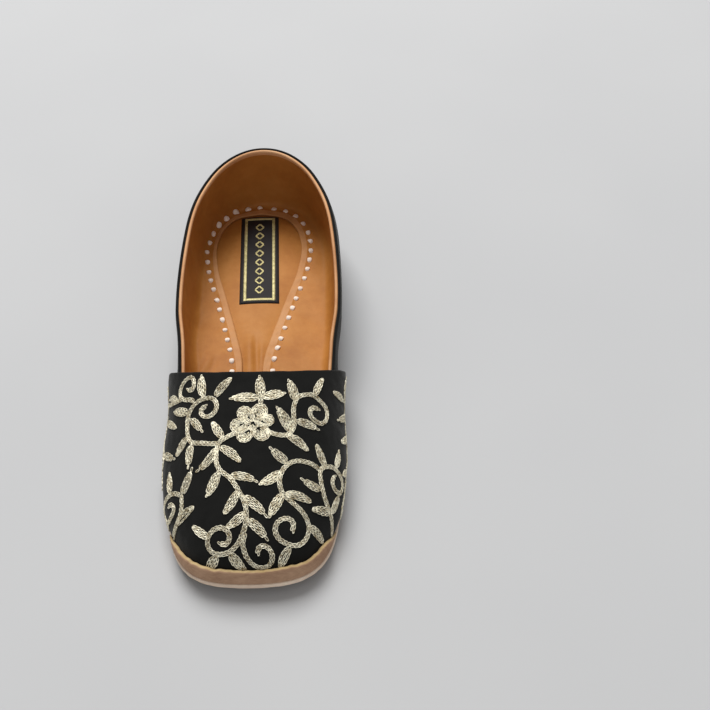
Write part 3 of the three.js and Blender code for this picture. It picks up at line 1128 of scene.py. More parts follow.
@dataclass
class Rand:
    """The leather turned up round the toe, with a wavy pale cut edge."""

    last: Last
    finishes: FinishSet
    height: float = 6.6
    end_height_share: float = 0.3
    end_share: float = 0.4
    waviness: float = 0.42
    columns: int = 110
    rows: int = 10

    def build(self) -> Piece:
        """Builds the rand as a strip with rounded edges.

        Returns:
            The piece, in place of the rand's node.
        """
        last = self.last

        def left(s: Array) -> Array:
            """Share of the rand's height at a place."""
            return last.rand_share(last.outline(s)[0][..., 1])

        end = last.solve(lambda s: self.end_share - left(s), (), 0.5)
        s = np.linspace(0, float(end), self.columns + 1)
        share = last.rand_share(last.outline(s)[0][:, 1])
        fade = (share - self.end_share) / (1 - self.end_share)
        height = self.height * (self.end_height_share + (1 - self.end_height_share) * fade)
        wall = share * (last.rand_wall + last.clearance) - last.clearance
        lift = 2 * last.clearance + last.vamp_wall
        halves = []
        for side in (1.0, -1.0):
            wave = ripple(np.column_stack([side * s * 90, s * 0 + 3, s * 0]), 3.4, 2.0)
            wave += 0.8 * ripple(np.column_stack([side * s * 90, s * 0 + 9, s * 0]), 1.1, 4.0)
            top = last.share_at_rise(s, height + wave * self.waviness * fade)
            v = top[:, None] * np.linspace(0, 1, self.rows + 1)[None, :]
            belly = np.sin(np.linspace(0, math.pi, self.rows + 1))[None, :] * 0.35
            outer = last.offset(s[:, None], v, (lift + wall)[:, None] + belly * fade[:, None])
            inner = last.offset(s[:, None], v, np.broadcast_to(lift, v.shape))
            outward = unit(outer[:, -1] - outer[:, -2])
            rim = rounded_rim(outer[:, -1], inner[:, -1], outward, 4, 0.7)
            loop = np.concatenate([outer, rim, inner[:, ::-1]], 1)
            halves.append(loop if side > 0 else mirrored(loop))
        strip = np.concatenate([halves[1][::-1], halves[0][1:]], 0)
        slots = np.zeros(strip.shape[1], int)
        slots[self.rows + 1 : self.rows + 4] = 1
        draft = MeshDraft(last, "rand_strip")
        draft.grid(strip, closed=True, slot=slots)
        draft.cap(strip[0])
        draft.cap(strip[-1], flip=True)
        piece = draft.build([self.finishes.rand, self.finishes.cut_edge])
        return fit_piece(piece, ["rand"])


@dataclass
class LiningOpening:
    """The drop-shaped opening cut in the lining's margin."""

    last: Last
    offset: float = -4.2
    length: float = 172.0
    width: float = 49.0
    back: float = 11.2
    stitch_distance: float = 5.4

    def half_width(self, along: Array) -> Array:
        """Half width of the opening at a distance from the toe, 0 beyond its ends.

        Args:
            along: Distances from the front of the toe.

        Returns:
            The half widths.
        """
        share = (self.last.sole_length - self.back - np.asarray(along)) / self.length
        inside = (share > 0) & (share < 1)
        half = OPENING_SECTIONS.value("half", np.clip(share, 0, 1)) * self.width / 2
        return np.where(inside, half, 0.0)

    def edge(self, half_turn: Array, side: float) -> Array:
        """Points of the cut edge.

        Args:
            half_turn: 0 at its toe end, 1 at its heel end.
            side: 1 for the right side, -1 for the left.

        Returns:
            Plan points.
        """
        share = 0.5 + 0.5 * np.cos(np.pi * np.asarray(half_turn))
        width = OPENING_SECTIONS.value("half", share) * self.width / 2
        along = self.last.sole_length - self.back - share * self.length
        return np.stack([self.offset + side * width, along], -1)

    def loop(self, steps: int = 500) -> Array:
        """The whole cut edge, from its toe end up the right side and down the left."""
        turn = np.linspace(0, 1, steps)
        return np.vstack([self.edge(turn, 1.0), self.edge(turn[::-1], -1.0)[1:-1]])

    def distance(self, plan: Array) -> Array:
        """Distance of plan points from the cut edge.

        Args:
            plan: Pairs of across and along.

        Returns:
            The distances.
        """
        ring = self.loop(160)
        flat = plan.reshape(-1, 1, 2)
        return np.sqrt(((flat - ring[None]) ** 2).sum(-1)).min(1).reshape(plan.shape[:-1])


@dataclass
class Upper:
    """Velvet quarters, their tan lining with its lasted margin, and the vamp's own lining."""

    last: Last
    finishes: FinishSet
    opening: LiningOpening
    velvet_wall: float = 1.05
    hem_wall: float = 0.35
    hem_reach: float = 5.0
    lining_wall: float = 1.75
    lining_gap: float = 0.1
    margin_top: float = 5.6
    margin_bottom: float = 4.5
    fillet: float = 7.0
    edge_roll: float = 0.16
    stitch_groove: float = 0.34
    lip_fullness: float = 0.9
    lip_rise: float = 0.35
    vamp_setback: float = 1.6
    front_reach: float = 26.0
    front_wall: float = 2.5
    least_wall: float = 0.02
    tuck: float = 1.3
    corner_reach: float = 0.02
    cut_drop: float = 0.35
    fillet_share: float = 0.34
    fillet_rise: float = 0.9
    margin_steps: tuple[float, ...] = (
        0.0, 0.5, 1.1, 1.9, 2.8, 3.7, 4.5, 5.0, 5.4, 5.8, 6.4, 7.4,
    )
    columns: int = 170
    wall_rows: int = 22
    margin_rows: int = 17
    band_rows: int = 8
    fillet_rows: int = 7
    lip_rows: int = 7
    creases: tuple[Crease, ...] = (
        Crease((-30.5, 131.0), (-24.5, 112.0), 1.5, 1.05),
        Crease((-27.5, 130.0), (-21.8, 112.0), 1.1, -0.85),
        Crease((-33.0, 150.0), (-28.5, 118.0), 2.2, 0.8),
        Crease((27.0, 128.0), (22.0, 110.0), 1.8, 0.4),
        Crease((31.0, 214.0), (27.0, 196.0), 2.4, 0.3),
    )

    def build(self) -> list[Piece]:
        """Builds the three pieces.

        Returns:
            Quarters, lining and vamp lining.
        """
        return [self.quarters(), self.lining(), self.vamp_lining()]

    def quarters(self) -> Piece:
        """The velvet quarters: one band from the vamp round the heel and back.

        Returns:
            The piece.
        """
        last = self.last
        corner = last.collar_corner(0.0)
        share = np.linspace(0, 1, self.wall_rows + 1)
        front = last.throat_share(corner * share, self.tuck)
        back = np.linspace(0, 1, self.columns)[:, None]
        s = front[None, :] + (1 - front[None, :]) * back
        top = last.collar_share(s[:, -1])
        near = self.corner_reach
        eased = corner + (top[:, None] - corner) * back / near
        v = share[None, :] * np.where(back < near, eased, top[:, None])
        plain = last.offset(s, v, np.zeros_like(s))
        from_edge = np.linalg.norm(plain - plain[:, -1:], axis=-1)
        hem = 1 - smooth_step(from_edge, 0.4 * self.hem_reach, self.hem_reach)
        outer = last.offset(s, v, 0.3 * self.hem_wall * hem)
        inner = last.offset(s, v, -self.velvet_wall - 0.7 * self.hem_wall * hem)
        outward = unit(outer[:, -1] - outer[:, -2])
        rim = rounded_rim(outer[:, -1], inner[:, -1], outward, 5, 0.9)
        loop = np.concatenate([outer, rim, inner[:, ::-1]], 1)
        band = np.concatenate([loop, mirrored(loop)[::-1][1:]], 0)
        draft = MeshDraft(last, "velvet_quarters")
        draft.grid(band, closed=True)
        draft.cap(band[0], flip=True)
        draft.cap(band[-1])
        return fit_piece(draft.build([self.finishes.velvet]), ["upper"])

    def side_of_lining(self, side: float) -> Array:
        """Loops of the lining on one side.

        Args:
            side: 1 for the right side, -1 for the left.

        Returns:
            Columns from the toe to the heel. Each is a closed loop from the cut edge up the wall
            and back.
        """
        last = self.last
        s = np.linspace(0, 1, 2 * self.columns)
        outer_gap = self.velvet_wall + 0.7 * self.hem_wall + self.lining_gap
        inner_gap = outer_gap + self.lining_wall
        corner = float(last.throat_share(np.array(last.collar_corner(0.0)), 0.0))
        behind = smooth_step((s - corner) * last.half_length(), -self.front_reach, -2.0)
        low = last.share_at_rise(s, self.margin_top + self.front_wall)
        top = np.maximum(last.collar_share(s) * behind, low + 0.03)
        wall_plan = last.offset(s, last.share_at_rise(s, self.margin_top), -inner_gap)
        wall_plan = mirrored(wall_plan) if side < 0 else wall_plan
        edge = self.opening.edge(s, side)
        gap = np.linalg.norm(edge - wall_plan[:, :2], axis=1)
        reach = np.minimum(self.fillet, self.fillet_share * gap)
        inwards = unit(edge - wall_plan[:, :2])
        risen = self.margin_top + self.fillet_rise * reach
        start = np.minimum(last.share_at_rise(s, risen), top - self.least_wall)
        v = start[:, None] + (top - start)[:, None] * np.linspace(0, 1, self.wall_rows)[None, :]
        around = np.broadcast_to(s[:, None], v.shape)
        wall = last.offset(around, v, -inner_gap)
        back_v = top[:, None] * np.linspace(1, 0, 8)[None, :]
        back_s = np.broadcast_to(s[:, None], back_v.shape)
        back = last.offset(back_s, back_v, -outer_gap)
        foot = last.offset(s, np.zeros_like(s), -inner_gap)
        outward = unit(wall[:, -1] - wall[:, -2])
        lip = rounded_rim(wall[:, -1], back[:, 0], outward, self.lip_rows, self.lip_fullness)
        over = np.sin(np.linspace(0, math.pi, self.lip_rows + 2))
        lip[..., 2] += self.lip_rise * over[None, 1:-1]
        if side < 0:
            wall, back, foot, lip = (mirrored(part) for part in (wall, back, foot, lip))
        flat_end = wall_plan[:, :2] + inwards * reach[:, None]
        distances = np.array(self.margin_steps)
        span = np.linalg.norm(flat_end - edge, axis=1)
        squeeze = np.minimum(1.0, span / (distances[-1] + 0.6))
        steps = distances[None, :] * squeeze[:, None]
        far = steps[:, -1:] + (span[:, None] - steps[:, -1:]) * np.linspace(0, 1, 6)[None, 1:]
        run = np.concatenate([steps, far], 1)
        outwards = unit(flat_end - edge)
        plan = edge[:, None, :] + outwards[:, None, :] * run[..., None]
        flange = np.concatenate([plan, self.flange_height(plan)[..., None]], -1)
        flange[:, 0, 2] -= self.cut_drop
        bottom = flange[:, 0].copy()
        bottom[:, 2] = last.feather_height(bottom[:, 1]) + self.margin_bottom
        t = np.linspace(0, 1, self.fillet_rows + 2)[None, 1:-1, None]
        first, end = flange[:, -1][:, None, :], wall[:, 0][:, None, :]
        knee = np.concatenate([wall_plan[:, :2], (first[:, 0, 2])[:, None]], 1)[:, None, :]
        fillet = (1 - t) ** 2 * first + 2 * (1 - t) * t * knee + t**2 * end
        sock = foot.copy()
        sock[:, 2] += self.margin_bottom
        loop = np.concatenate(
            [bottom[:, None], flange, fillet, wall, lip, back, foot[:, None], sock[:, None]], 1
        )
        bulge = sum(crease.lift(loop) for crease in self.creases)
        rows = np.arange(loop.shape[1])
        last_row = 1 + self.margin_rows + self.fillet_rows + self.wall_rows // 2
        shown = (rows > 0) & (rows < last_row)
        loop[..., 2] += bulge * shown[None, :]
        return loop

    def flange_height(self, plan: Array) -> Array:
        """Height of the lasted margin: puffed at its cut edge, drawn down along the stitches.

        Args:
            plan: Pairs of across and along.

        Returns:
            The heights.
        """
        base = self.last.feather_height(plan[..., 1]) + self.margin_top
        apart = self.opening.distance(plan)
        rim = self.edge_roll * np.exp(-(((apart - 1.2) / 1.5) ** 2))
        groove = self.stitch_groove * np.exp(-(((apart - self.opening.stitch_distance) / 1.0) ** 2))
        flat = np.concatenate([plan, plan[..., :1] * 0], -1)
        puckers = 0.3 * ripple(flat, 3.6, 6.0) * np.exp(-(((apart - 4.0) / 2.6) ** 2))
        return base + rim - groove + puckers + 0.2 * ripple(flat, 9.0, 1.0)

    def lining(self) -> Piece:
        """The tan lining: wall, rolled lip, lasted margin and its cut edge.

        Returns:
            The piece.
        """
        right, left = self.side_of_lining(1.0), self.side_of_lining(-1.0)
        ring = np.concatenate([right, left[::-1]], 0)
        ring = np.concatenate([ring, ring[:1]], 0)
        slots = np.zeros(ring.shape[1], int)
        # The band rows take the paler margin finish: the band's own pinker tone plus painted
        # highlight.
        slots[: self.band_rows] = 1
        lip = 1 + self.margin_rows + self.fillet_rows + self.wall_rows
        slots[lip - 2 : lip + self.lip_rows] = 2
        draft = MeshDraft(self.last, "lining")
        draft.grid(ring, closed=True, slot=slots)
        piece = draft.build([self.finishes.lining, self.finishes.margin_tone_and_highlight, self.finishes.lip])
        return fit_piece(piece, ["lining_flange", "upper"])

    def vamp_lining(self) -> Piece:
        """The leather behind the vamp piece, seen through the throat.

        Returns:
            The piece.
        """
        last = self.last
        v = np.linspace(0.01, 1, 44)
        rear = last.throat_share(v, self.vamp_setback)
        s = rear[None, :] * np.linspace(0, 1, 70)[:, None]
        rows = np.broadcast_to(v[None, :], s.shape)
        outer = last.offset(s, rows, -0.05)
        inner = last.offset(s, rows, -1.1)
        outward = unit(outer[-1] - outer[-2])[:, None, :]
        rim = rounded_rim(outer[-1], inner[-1], outward[:, 0], 4, 0.9)
        sheet = np.concatenate([outer, np.swapaxes(rim, 0, 1), inner[::-1]], 0)
        draft = MeshDraft(last, "vamp_lining")
        for half, flip in ((sheet, False), (mirrored(sheet), True)):
            draft.grid(half, flip=flip)
            lower = np.stack([half[: len(outer), 0], half[::-1][: len(outer), 0]], 1)
            draft.grid(lower, flip=not flip)
        return fit_piece(draft.build([self.finishes.lining]))


@dataclass
class VampPiece:
    """The velvet vamp piece with its turned-in rear edge."""

    last: Last
    finishes: FinishSet
    flare: float = 2.4
    flare_length: float = 26.0
    edge_fullness: float = 1.1
    columns: int = 130
    rows: int = 84

    def lift(self, s: Array, v: Array) -> Array:
        """How far the piece stands off the upper, most at the rear edge's sides.

        Args:
            s: Places round the feather line.
            v: Places up the wall.

        Returns:
            The distances.
        """
        rear = self.last.throat_share(v, 0.0)
        away = np.linalg.norm(self.last.point(rear, v) - self.last.point(s, v), axis=-1)
        side = 6.75 * v * (1 - v) ** 2
        return self.flare * side * (1 - smooth_step(away, 0, self.flare_length))

    def surface(self, s: Array, v: Array, lift: float) -> Array:
        """Points of the piece, with the soft unevenness of sewn velvet.

        Args:
            s: Places round the feather line.
            v: Places up the wall.
            lift: How far the points stand off the upper.

        Returns:
            The points.
        """
        plain = self.last.offset(s, v, self.lift(s, v) + lift)
        soft = 0.16 * ripple(plain, 8.0, 3.0) + 0.1 * ripple(plain, 3.5, 7.0)
        middle = (np.asarray(v) >= 1) | (np.asarray(s) <= 0)
        normal = self.last.normal(s, v)
        out = plain + normal * (soft * smooth_step(v, 0.02, 0.2))[..., None]
        out[..., 0] = np.where(middle, 0.0, out[..., 0])
        return out

    def build(self) -> Piece:
        """Builds the vamp piece.

        Returns:
            The piece, in place of the vamp cover's node.
        """
        last = self.last
        v = np.linspace(0, 1, self.rows + 1) ** 0.92
        rear = last.throat_share(v, 0.0)
        s = rear[None, :] * (1 - (1 - np.linspace(0, 1, self.columns + 1)) ** 1.15)[:, None]
        rows = np.broadcast_to(v[None, :], s.shape)
        draft = MeshDraft(last, "vamp_piece")
        for flip in (False, True):
            outer = self.surface(s, rows, last.clearance + last.vamp_wall)
            inner = last.offset(s, rows, self.lift(s, rows) + last.clearance)
            outward = unit(outer[-1] - outer[-2])
            rim = rounded_rim(outer[-1], inner[-1], outward, 5, self.edge_fullness)
            sheet = np.concatenate([outer, np.swapaxes(rim, 0, 1), inner[::-1]], 0)
            sheet = mirrored(sheet) if flip else sheet
            draft.grid(sheet, flip=flip)
            count = len(outer)
            lower = np.stack([sheet[:count, 0], sheet[::-1][:count, 0]], 1)
            draft.grid(lower, flip=not flip)
        return fit_piece(draft.build([self.finishes.velvet]), ["vamp_cover"])


@dataclass
class VampChart:
    """A flat chart of the vamp piece: p goes across from its middle line, q along from its rear.

    Its lines across are slices of the surface parallel to the throat's raked plane.
    """

    vamp: VampPiece
    slices: int = 130
    slice_rows: int = 150
    longest_setback: float = 128.0
    half_across: float = 96.0
    step: float = 1.0
    grid: Array = field(default=None, repr=False)

    def __post_init__(self) -> None:
        """Lays out the chart's grid of points on the surface."""
        last = self.vamp.last
        v = np.broadcast_to(np.linspace(1, 0, self.slice_rows), (self.slices, self.slice_rows))
        setback = np.linspace(0, self.longest_setback, self.slices)[:, None]
        s = last.throat_share(v, setback)
        points = self.vamp.surface(s, v, last.clearance + last.vamp_wall)
        across = np.arange(0, self.half_across, self.step)
        rows, middles = [], []
        for shares, line in zip(s, points):
            start = int(np.argmax(shares > 1e-6))
            if shares[start] <= 1e-6:
                break
            line = line[start:]
            line[0, 0] = 0.0
            gone = way_gone(line)
            rows.append(read_off(across, gone, line))
            middles.append(line[0])
        middles = np.array(middles)
        gone = way_gone(middles)
        table = np.array(rows).reshape(len(rows), -1)
        along = np.arange(0, gone[-1], self.step)
        self.grid = read_off(along, gone, table).reshape(len(along), -1, 3)

    @property
    def length(self) -> float:
        """Distance from the rear edge to the toe, on the middle line."""
        return (len(self.grid) - 1) * self.step

    def point(self, chart: Array) -> Array:
        """Points on the surface.

        Args:
            chart: Pairs of p and q, p below 0 on the left side.

        Returns:
            Points in millimetres.
        """
        p, q = chart[..., 0] / self.step, np.clip(chart[..., 1], 0, self.length) / self.step
        side = np.where(p < 0, -1.0, 1.0)
        p = np.clip(np.abs(p), 0, self.grid.shape[1] - 1.001)
        i = np.minimum(q.astype(int), len(self.grid) - 2)
        j = p.astype(int)
        a, b = (q - i)[..., None], (p - j)[..., None]
        low = self.grid[i, j] * (1 - b) + self.grid[i, j + 1] * b
        high = self.grid[i + 1, j] * (1 - b) + self.grid[i + 1, j + 1] * b
        out = low * (1 - a) + high * a
        out[..., 0] *= side
        return out

    def normal(self, chart: Array) -> Array:
        """Outward directions of the surface at some pairs of p and q.

        Args:
            chart: Pairs of p and q.

        Returns:
            The directions.
        """
        reach = 1.5
        across = self.point(chart + [reach, 0]) - self.point(chart - [reach, 0])
        low = np.clip(chart[..., 1] - reach, 0, self.length)
        high = np.clip(chart[..., 1] + reach, 0, self.length)
        near = np.stack([chart[..., 0], low], -1)
        far = np.stack([chart[..., 0], high], -1)
        return unit(np.cross(self.point(far) - self.point(near), across))


@dataclass(frozen=True)
class Leaf:
    """A leaf on the chart, from its base to its tip. A bend above 0 bows it to the left."""

    base: Pair
    tip: Pair
    width: float = 4.5
    bend: float = 0.0

    def rows(self, row_width: float) -> list[Array]:
        """Rows of stitches that fill the leaf.

        Args:
            row_width: Width of one row.

        Returns:
            One path on the chart for each row.
        """
        base, tip = np.array(self.base), np.array(self.tip)
        way = tip - base
        left = np.array([way[1], -way[0]])
        count = max(3, round(self.width / row_width))
        out = []
        for k in range(count):
            place = (2 * k + 1 - count) / count
            outer = abs(place)
            t = np.linspace(0.01 + 0.07 * outer, 1.02 - 0.17 * outer, 24)[:, None]
            swell = np.sin(np.pi * np.minimum(t, 1) ** 0.86) ** 0.85 * 1.06 * self.width / 2
            middle = base + way * t + left * self.bend * 4 * t * (1 - t)
            out.append(middle + left / np.linalg.norm(left) * swell * place)
        return out


@dataclass(frozen=True)
class Petal:
    """A round petal on the chart, drawn out towards the flower's heart."""

    middle: Pair
    radius: float
    heart: Pair = (1.1, 26.1)

    def rows(self, row_width: float) -> list[Array]:
        """Rings of stitches that fill the petal.

        Args:
            row_width: Width of one row.

        Returns:
            One path on the chart for each ring.
        """
        middle = np.array(self.middle)
        way = np.array(self.heart) - middle
        angle = np.linspace(0, 2 * math.pi, 60)
        turned = angle + math.atan2(way[1], way[0])
        drawn = 1 + (np.linalg.norm(way) / self.radius - 1.06) * np.maximum(np.cos(angle), 0) ** 2.4
        out = []
        for radius in np.arange(self.radius - 0.36 * row_width, 0.2, -0.8 * row_width):
            ring = (radius * drawn)[:, None] * np.stack([np.cos(turned), np.sin(turned)], 1)
            out.append(middle + ring)
        return out


# The vine, in millimetres on the vamp's chart. The parts that face the camera were read from the
# photograph. Those low on both sides are hidden there, and continue it in the same manner.
STEMS: tuple[tuple[Pair, ...], ...] = (
    (
        (-6.0, 31.0), (-9.2, 32.2), (-12.0, 33.9), (-14.8, 36.0), (-15.5, 39.5), (-15.7, 43.0),
        (-15.2, 46.4), (-13.4, 49.4), (-11.0, 51.2), (-8.4, 53.3), (-6.4, 56.0), (-4.7, 58.9),
        (-3.2, 61.5), (-1.9, 64.4), (-1.2, 67.5), (-1.1, 71.0), (-1.5, 74.5), (-2.5, 78.0),
        (-4.2, 81.5), (-6.5, 84.3), (-8.8, 86.2), (-11.8, 87.0), (-14.9, 87.0), (-17.2, 85.5),
        (-18.5, 82.9), (-18.5, 80.4), (-17.3, 77.9), (-15.2, 76.0), (-12.7, 75.3), (-10.2, 76.1),
        (-8.6, 78.2), (-8.6, 80.8), (-10.0, 82.6), (-12.0, 82.6), (-13.1, 81.4),
    ),
    (
        (-14.8, 36.0), (-17.8, 36.5), (-22.0, 36.3), (-26.0, 36.2), (-28.9, 36.0), (-30.9, 33.9),
        (-31.7, 31.0), (-32.2, 27.0), (-32.1, 23.5), (-31.3, 20.8), (-29.8, 18.2), (-27.4, 15.9),
        (-24.2, 14.1), (-20.9, 13.3), (-18.1, 14.0), (-16.6, 16.5), (-16.8, 19.6), (-18.9, 22.2),
        (-21.6, 23.1), (-23.9, 22.2), (-24.8, 20.4), (-24.0, 18.5), (-21.5, 17.7),
    ),
    (
        (-28.3, 15.6), (-30.9, 14.4), (-34.2, 14.5), (-37.0, 13.8), (-38.4, 12.0), (-37.8, 8.5),
        (-35.8, 5.3), (-33.3, 3.1), (-31.0, 2.4), (-29.4, 3.9), (-29.2, 6.6), (-30.0, 9.0),
        (-31.7, 9.6), (-32.9, 8.3),
    ),
    (
        (-37.2, 14.2), (-40.0, 15.1), (-43.8, 16.1), (-48.2, 16.9), (-53.0, 17.2), (-56.5, 19.2),
        (-58.6, 22.5), (-59.4, 27.0), (-59.2, 31.5), (-58.0, 36.0), (-55.2, 39.0), (-52.3, 41.8),
        (-51.6, 45.4), (-53.2, 48.6), (-56.6, 49.8), (-59.6, 48.2), (-60.4, 44.9), (-58.7, 42.5),
        (-56.5, 43.2), (-56.0, 45.4),
    ),
    (
        (-55.5, 18.6), (-59.6, 16.6), (-63.2, 13.8), (-66.6, 10.4), (-70.4, 9.4), (-73.3, 11.6),
        (-73.4, 15.2), (-70.7, 17.4), (-67.9, 16.2), (-68.0, 13.6),
    ),
    (
        (-1.7, 78.0), (-2.6, 82.2), (-2.0, 86.0), (-0.3, 89.7), (1.8, 92.2), (4.6, 93.8),
        (7.7, 93.5), (9.9, 91.1), (10.3, 87.6), (8.8, 84.6), (6.2, 83.4), (4.3, 84.6), (3.7, 87.4),
    ),
    (
        (-32.9, 61.3), (-32.6, 64.7), (-33.1, 68.4), (-34.4, 71.4), (-36.8, 75.0), (-39.4, 78.2),
        (-42.2, 81.2),
    ),
    (
        (-32.9, 61.3), (-36.6, 60.7), (-40.2, 61.3), (-43.4, 62.9), (-46.8, 65.5), (-49.1, 69.0),
        (-49.0, 72.8), (-46.0, 74.6), (-42.4, 73.0), (-39.0, 70.2), (-37.6, 67.5), (-39.3, 65.8),
        (-42.6, 66.9),
    ),
    (
        (6.5, 30.0), (9.6, 31.5), (12.8, 32.5), (17.0, 32.7), (19.4, 30.3), (20.2, 27.4),
        (20.0, 24.0), (19.8, 20.4), (20.3, 16.9), (21.6, 14.0), (24.0, 12.8), (27.2, 12.5),
        (30.2, 13.0), (32.9, 15.2), (35.7, 17.8), (37.9, 20.8), (38.3, 24.0), (37.0, 26.7),
        (34.3, 27.7), (31.3, 26.5), (29.0, 24.1), (28.1, 21.5), (29.4, 19.5), (31.8, 19.7),
        (33.2, 21.2),
    ),
    (
        (4.3, 16.6), (4.3, 13.0),
    ),
    (
        (33.3, 50.6), (31.0, 48.8), (27.7, 46.9), (23.9, 45.8), (20.6, 45.7), (17.6, 47.0),
        (15.1, 49.4), (13.8, 52.4), (13.6, 56.3), (14.9, 60.2), (17.2, 62.8), (20.6, 65.9),
        (23.9, 69.2), (26.5, 73.0), (27.5, 76.9), (26.5, 80.7), (23.9, 83.4), (20.6, 84.1),
        (17.2, 83.2), (13.9, 81.2), (12.0, 78.3), (11.9, 74.9), (13.9, 72.5), (16.7, 71.8),
        (19.2, 73.0), (20.0, 75.4), (19.2, 78.1),
    ),
    (
        (36.0, 49.3), (33.5, 51.0), (33.4, 54.6), (34.2, 58.6), (35.6, 63.5), (37.2, 67.3),
        (39.4, 70.9), (41.4, 74.8), (43.2, 78.9), (44.6, 82.2),
    ),
    (
        (33.3, 50.4), (36.2, 49.2), (39.0, 49.4), (42.2, 50.4), (45.5, 53.0), (48.4, 56.4),
        (49.2, 59.8), (47.6, 62.2), (44.8, 62.1), (42.0, 60.2), (40.5, 57.2), (41.2, 54.7),
        (43.0, 54.6),
    ),
    (
        (54.0, 16.4), (58.6, 16.0), (61.8, 18.6), (63.0, 23.0), (62.6, 28.0), (61.8, 33.0),
        (61.4, 38.0), (60.6, 43.0), (58.8, 48.0), (56.4, 53.0), (54.6, 58.0), (54.0, 62.6),
        (52.2, 67.0), (49.8, 71.0),
    ),
    (
        (58.6, 16.0), (63.0, 13.6), (66.6, 10.2), (70.8, 9.4), (73.8, 12.0), (73.4, 15.8),
        (70.4, 17.6), (67.9, 15.9), (68.6, 13.4),
    ),
    (
        (61.4, 38.0), (64.6, 35.0), (68.4, 34.6), (70.8, 37.4), (69.8, 40.9), (66.6, 41.9),
        (64.8, 39.6),
    ),
)
LEAVES: tuple[Leaf, ...] = tuple(
    Leaf((p, q), (tip_p, tip_q), width, bend)
    for p, q, tip_p, tip_q, width, bend in (
        (-23.8, 13.6, -25.1, 1.2, 4.7, 0.04), (-17.6, 13.2, -9.4, 2.4, 4.4, 0.05),
        (-31.6, 20.8, -43.4, 20.7, 4.6, 0.0), (-31.0, 23.8, -23.3, 30.6, 4.2, 0.05),
        (-31.4, 33.0, -38.1, 43.4, 3.9, -0.03), (-28.9, 36.0, -29.9, 48.4, 4.5, -0.03),
        (-12.6, 33.7, -18.5, 25.3, 4.3, 0.03), (-15.0, 37.4, -24.9, 49.9, 4.5, 0.07),
        (-14.6, 37.6, -3.9, 45.7, 4.4, 0.06), (-14.2, 49.3, -19.8, 61.8, 4.6, 0.04),
        (-10.0, 52.0, 3.4, 54.7, 4.2, 0.09), (-5.0, 58.4, -11.4, 69.6, 4.4, 0.04),
        (-3.6, 60.8, 7.8, 70.6, 4.4, 0.05), (-1.5, 68.4, -10.2, 75.4, 4.4, 0.05),
        (-1.5, 71.0, 8.2, 80.8, 4.5, 0.05), (-17.6, 79.9, -26.5, 74.8, 4.3, 0.04),
        (-14.4, 87.4, -19.3, 95.6, 4.7, 0.03), (-8.6, 86.0, -1.6, 95.8, 4.7, -0.03),
        (-33.2, 62.0, -27.8, 48.8, 4.3, -0.03), (-36.8, 75.2, -25.3, 66.0, 4.5, 0.04),
        (-41.3, 61.6, -42.2, 51.2, 4.6, 0.0), (-39.6, 15.0, -50.2, 14.2, 3.4, -0.09),
        (-53.6, 26.3, -39.6, 29.0, 4.2, 0.03), (-51.6, 43.0, -39.3, 44.4, 4.4, 0.02),
        (4.3, 13.4, 3.4, 1.8, 4.7, 0.0), (4.0, 13.7, -10.2, 13.9, 4.6, -0.05),
        (4.8, 13.4, 15.9, 11.4, 4.7, 0.03), (20.8, 16.2, 17.1, 4.3, 4.6, -0.04),
        (18.9, 32.0, 11.8, 18.4, 5.0, -0.03), (30.8, 13.4, 35.4, 4.0, 4.3, 0.04),
        (20.4, 25.4, 32.6, 30.8, 4.1, 0.04), (16.2, 32.4, 27.5, 41.3, 4.1, 0.05),
        (18.0, 46.8, 9.2, 38.8, 4.4, 0.03), (14.6, 50.2, 4.4, 56.1, 4.6, 0.05),
        (15.2, 60.4, 9.1, 71.2, 4.6, -0.03), (15.6, 60.6, 28.9, 65.6, 4.1, 0.07),
        (27.0, 75.4, 37.2, 85.3, 3.9, 0.03), (18.4, 84.2, 13.3, 94.8, 4.5, -0.04),
        (34.4, 60.4, 23.8, 54.3, 3.8, 0.03), (36.8, 50.0, 31.4, 37.6, 4.0, 0.02),
        (43.6, 51.0, 46.3, 42.0, 4.2, 0.0), (39.9, 71.4, 28.5, 68.4, 4.2, -0.04),
        (40.2, 72.0, 46.3, 63.2, 4.5, 0.02), (54.4, 16.4, 41.8, 11.4, 3.6, -0.03),
        (62.4, 24.2, 46.9, 26.2, 4.4, 0.02), (61.4, 36.0, 48.0, 37.4, 4.2, 0.02),
        (56.2, 52.8, 48.8, 54.0, 4.0, 0.0), (-59.2, 27.5, -69.4, 23.4, 4.3, 0.03),
        (-58.6, 33.0, -69.2, 35.6, 4.3, 0.03), (-60.2, 46.6, -68.6, 51.0, 4.1, 0.03),
        (-57.0, 49.8, -53.8, 59.6, 4.1, 0.03), (-59.6, 16.6, -57.2, 6.2, 4.3, 0.03),
        (-66.0, 11.0, -64.0, 1.8, 4.1, 0.03), (-46.6, 74.6, -52.4, 79.0, 3.6, 0.03),
        (58.6, 16.0, 56.0, 5.4, 4.3, 0.03), (66.0, 10.6, 63.4, 1.8, 4.1, 0.03),
        (62.8, 26.0, 73.4, 23.8, 4.2, 0.03), (59.4, 46.6, 68.8, 50.2, 4.1, 0.03),
        (54.8, 57.2, 62.6, 62.4, 4.0, 0.03), (50.4, 70.2, 55.0, 75.4, 3.4, 0.03),
    )
)
PETALS: tuple[Petal, ...] = (
    Petal((-3.1, 21.3), 3.6),
    Petal((4.0, 20.2), 3.8),
    Petal((7.7, 25.0), 3.1),
    Petal((5.3, 31.5), 3.9),
    Petal((-2.9, 32.5), 3.6),
    Petal((-6.1, 27.6), 3.6),
)


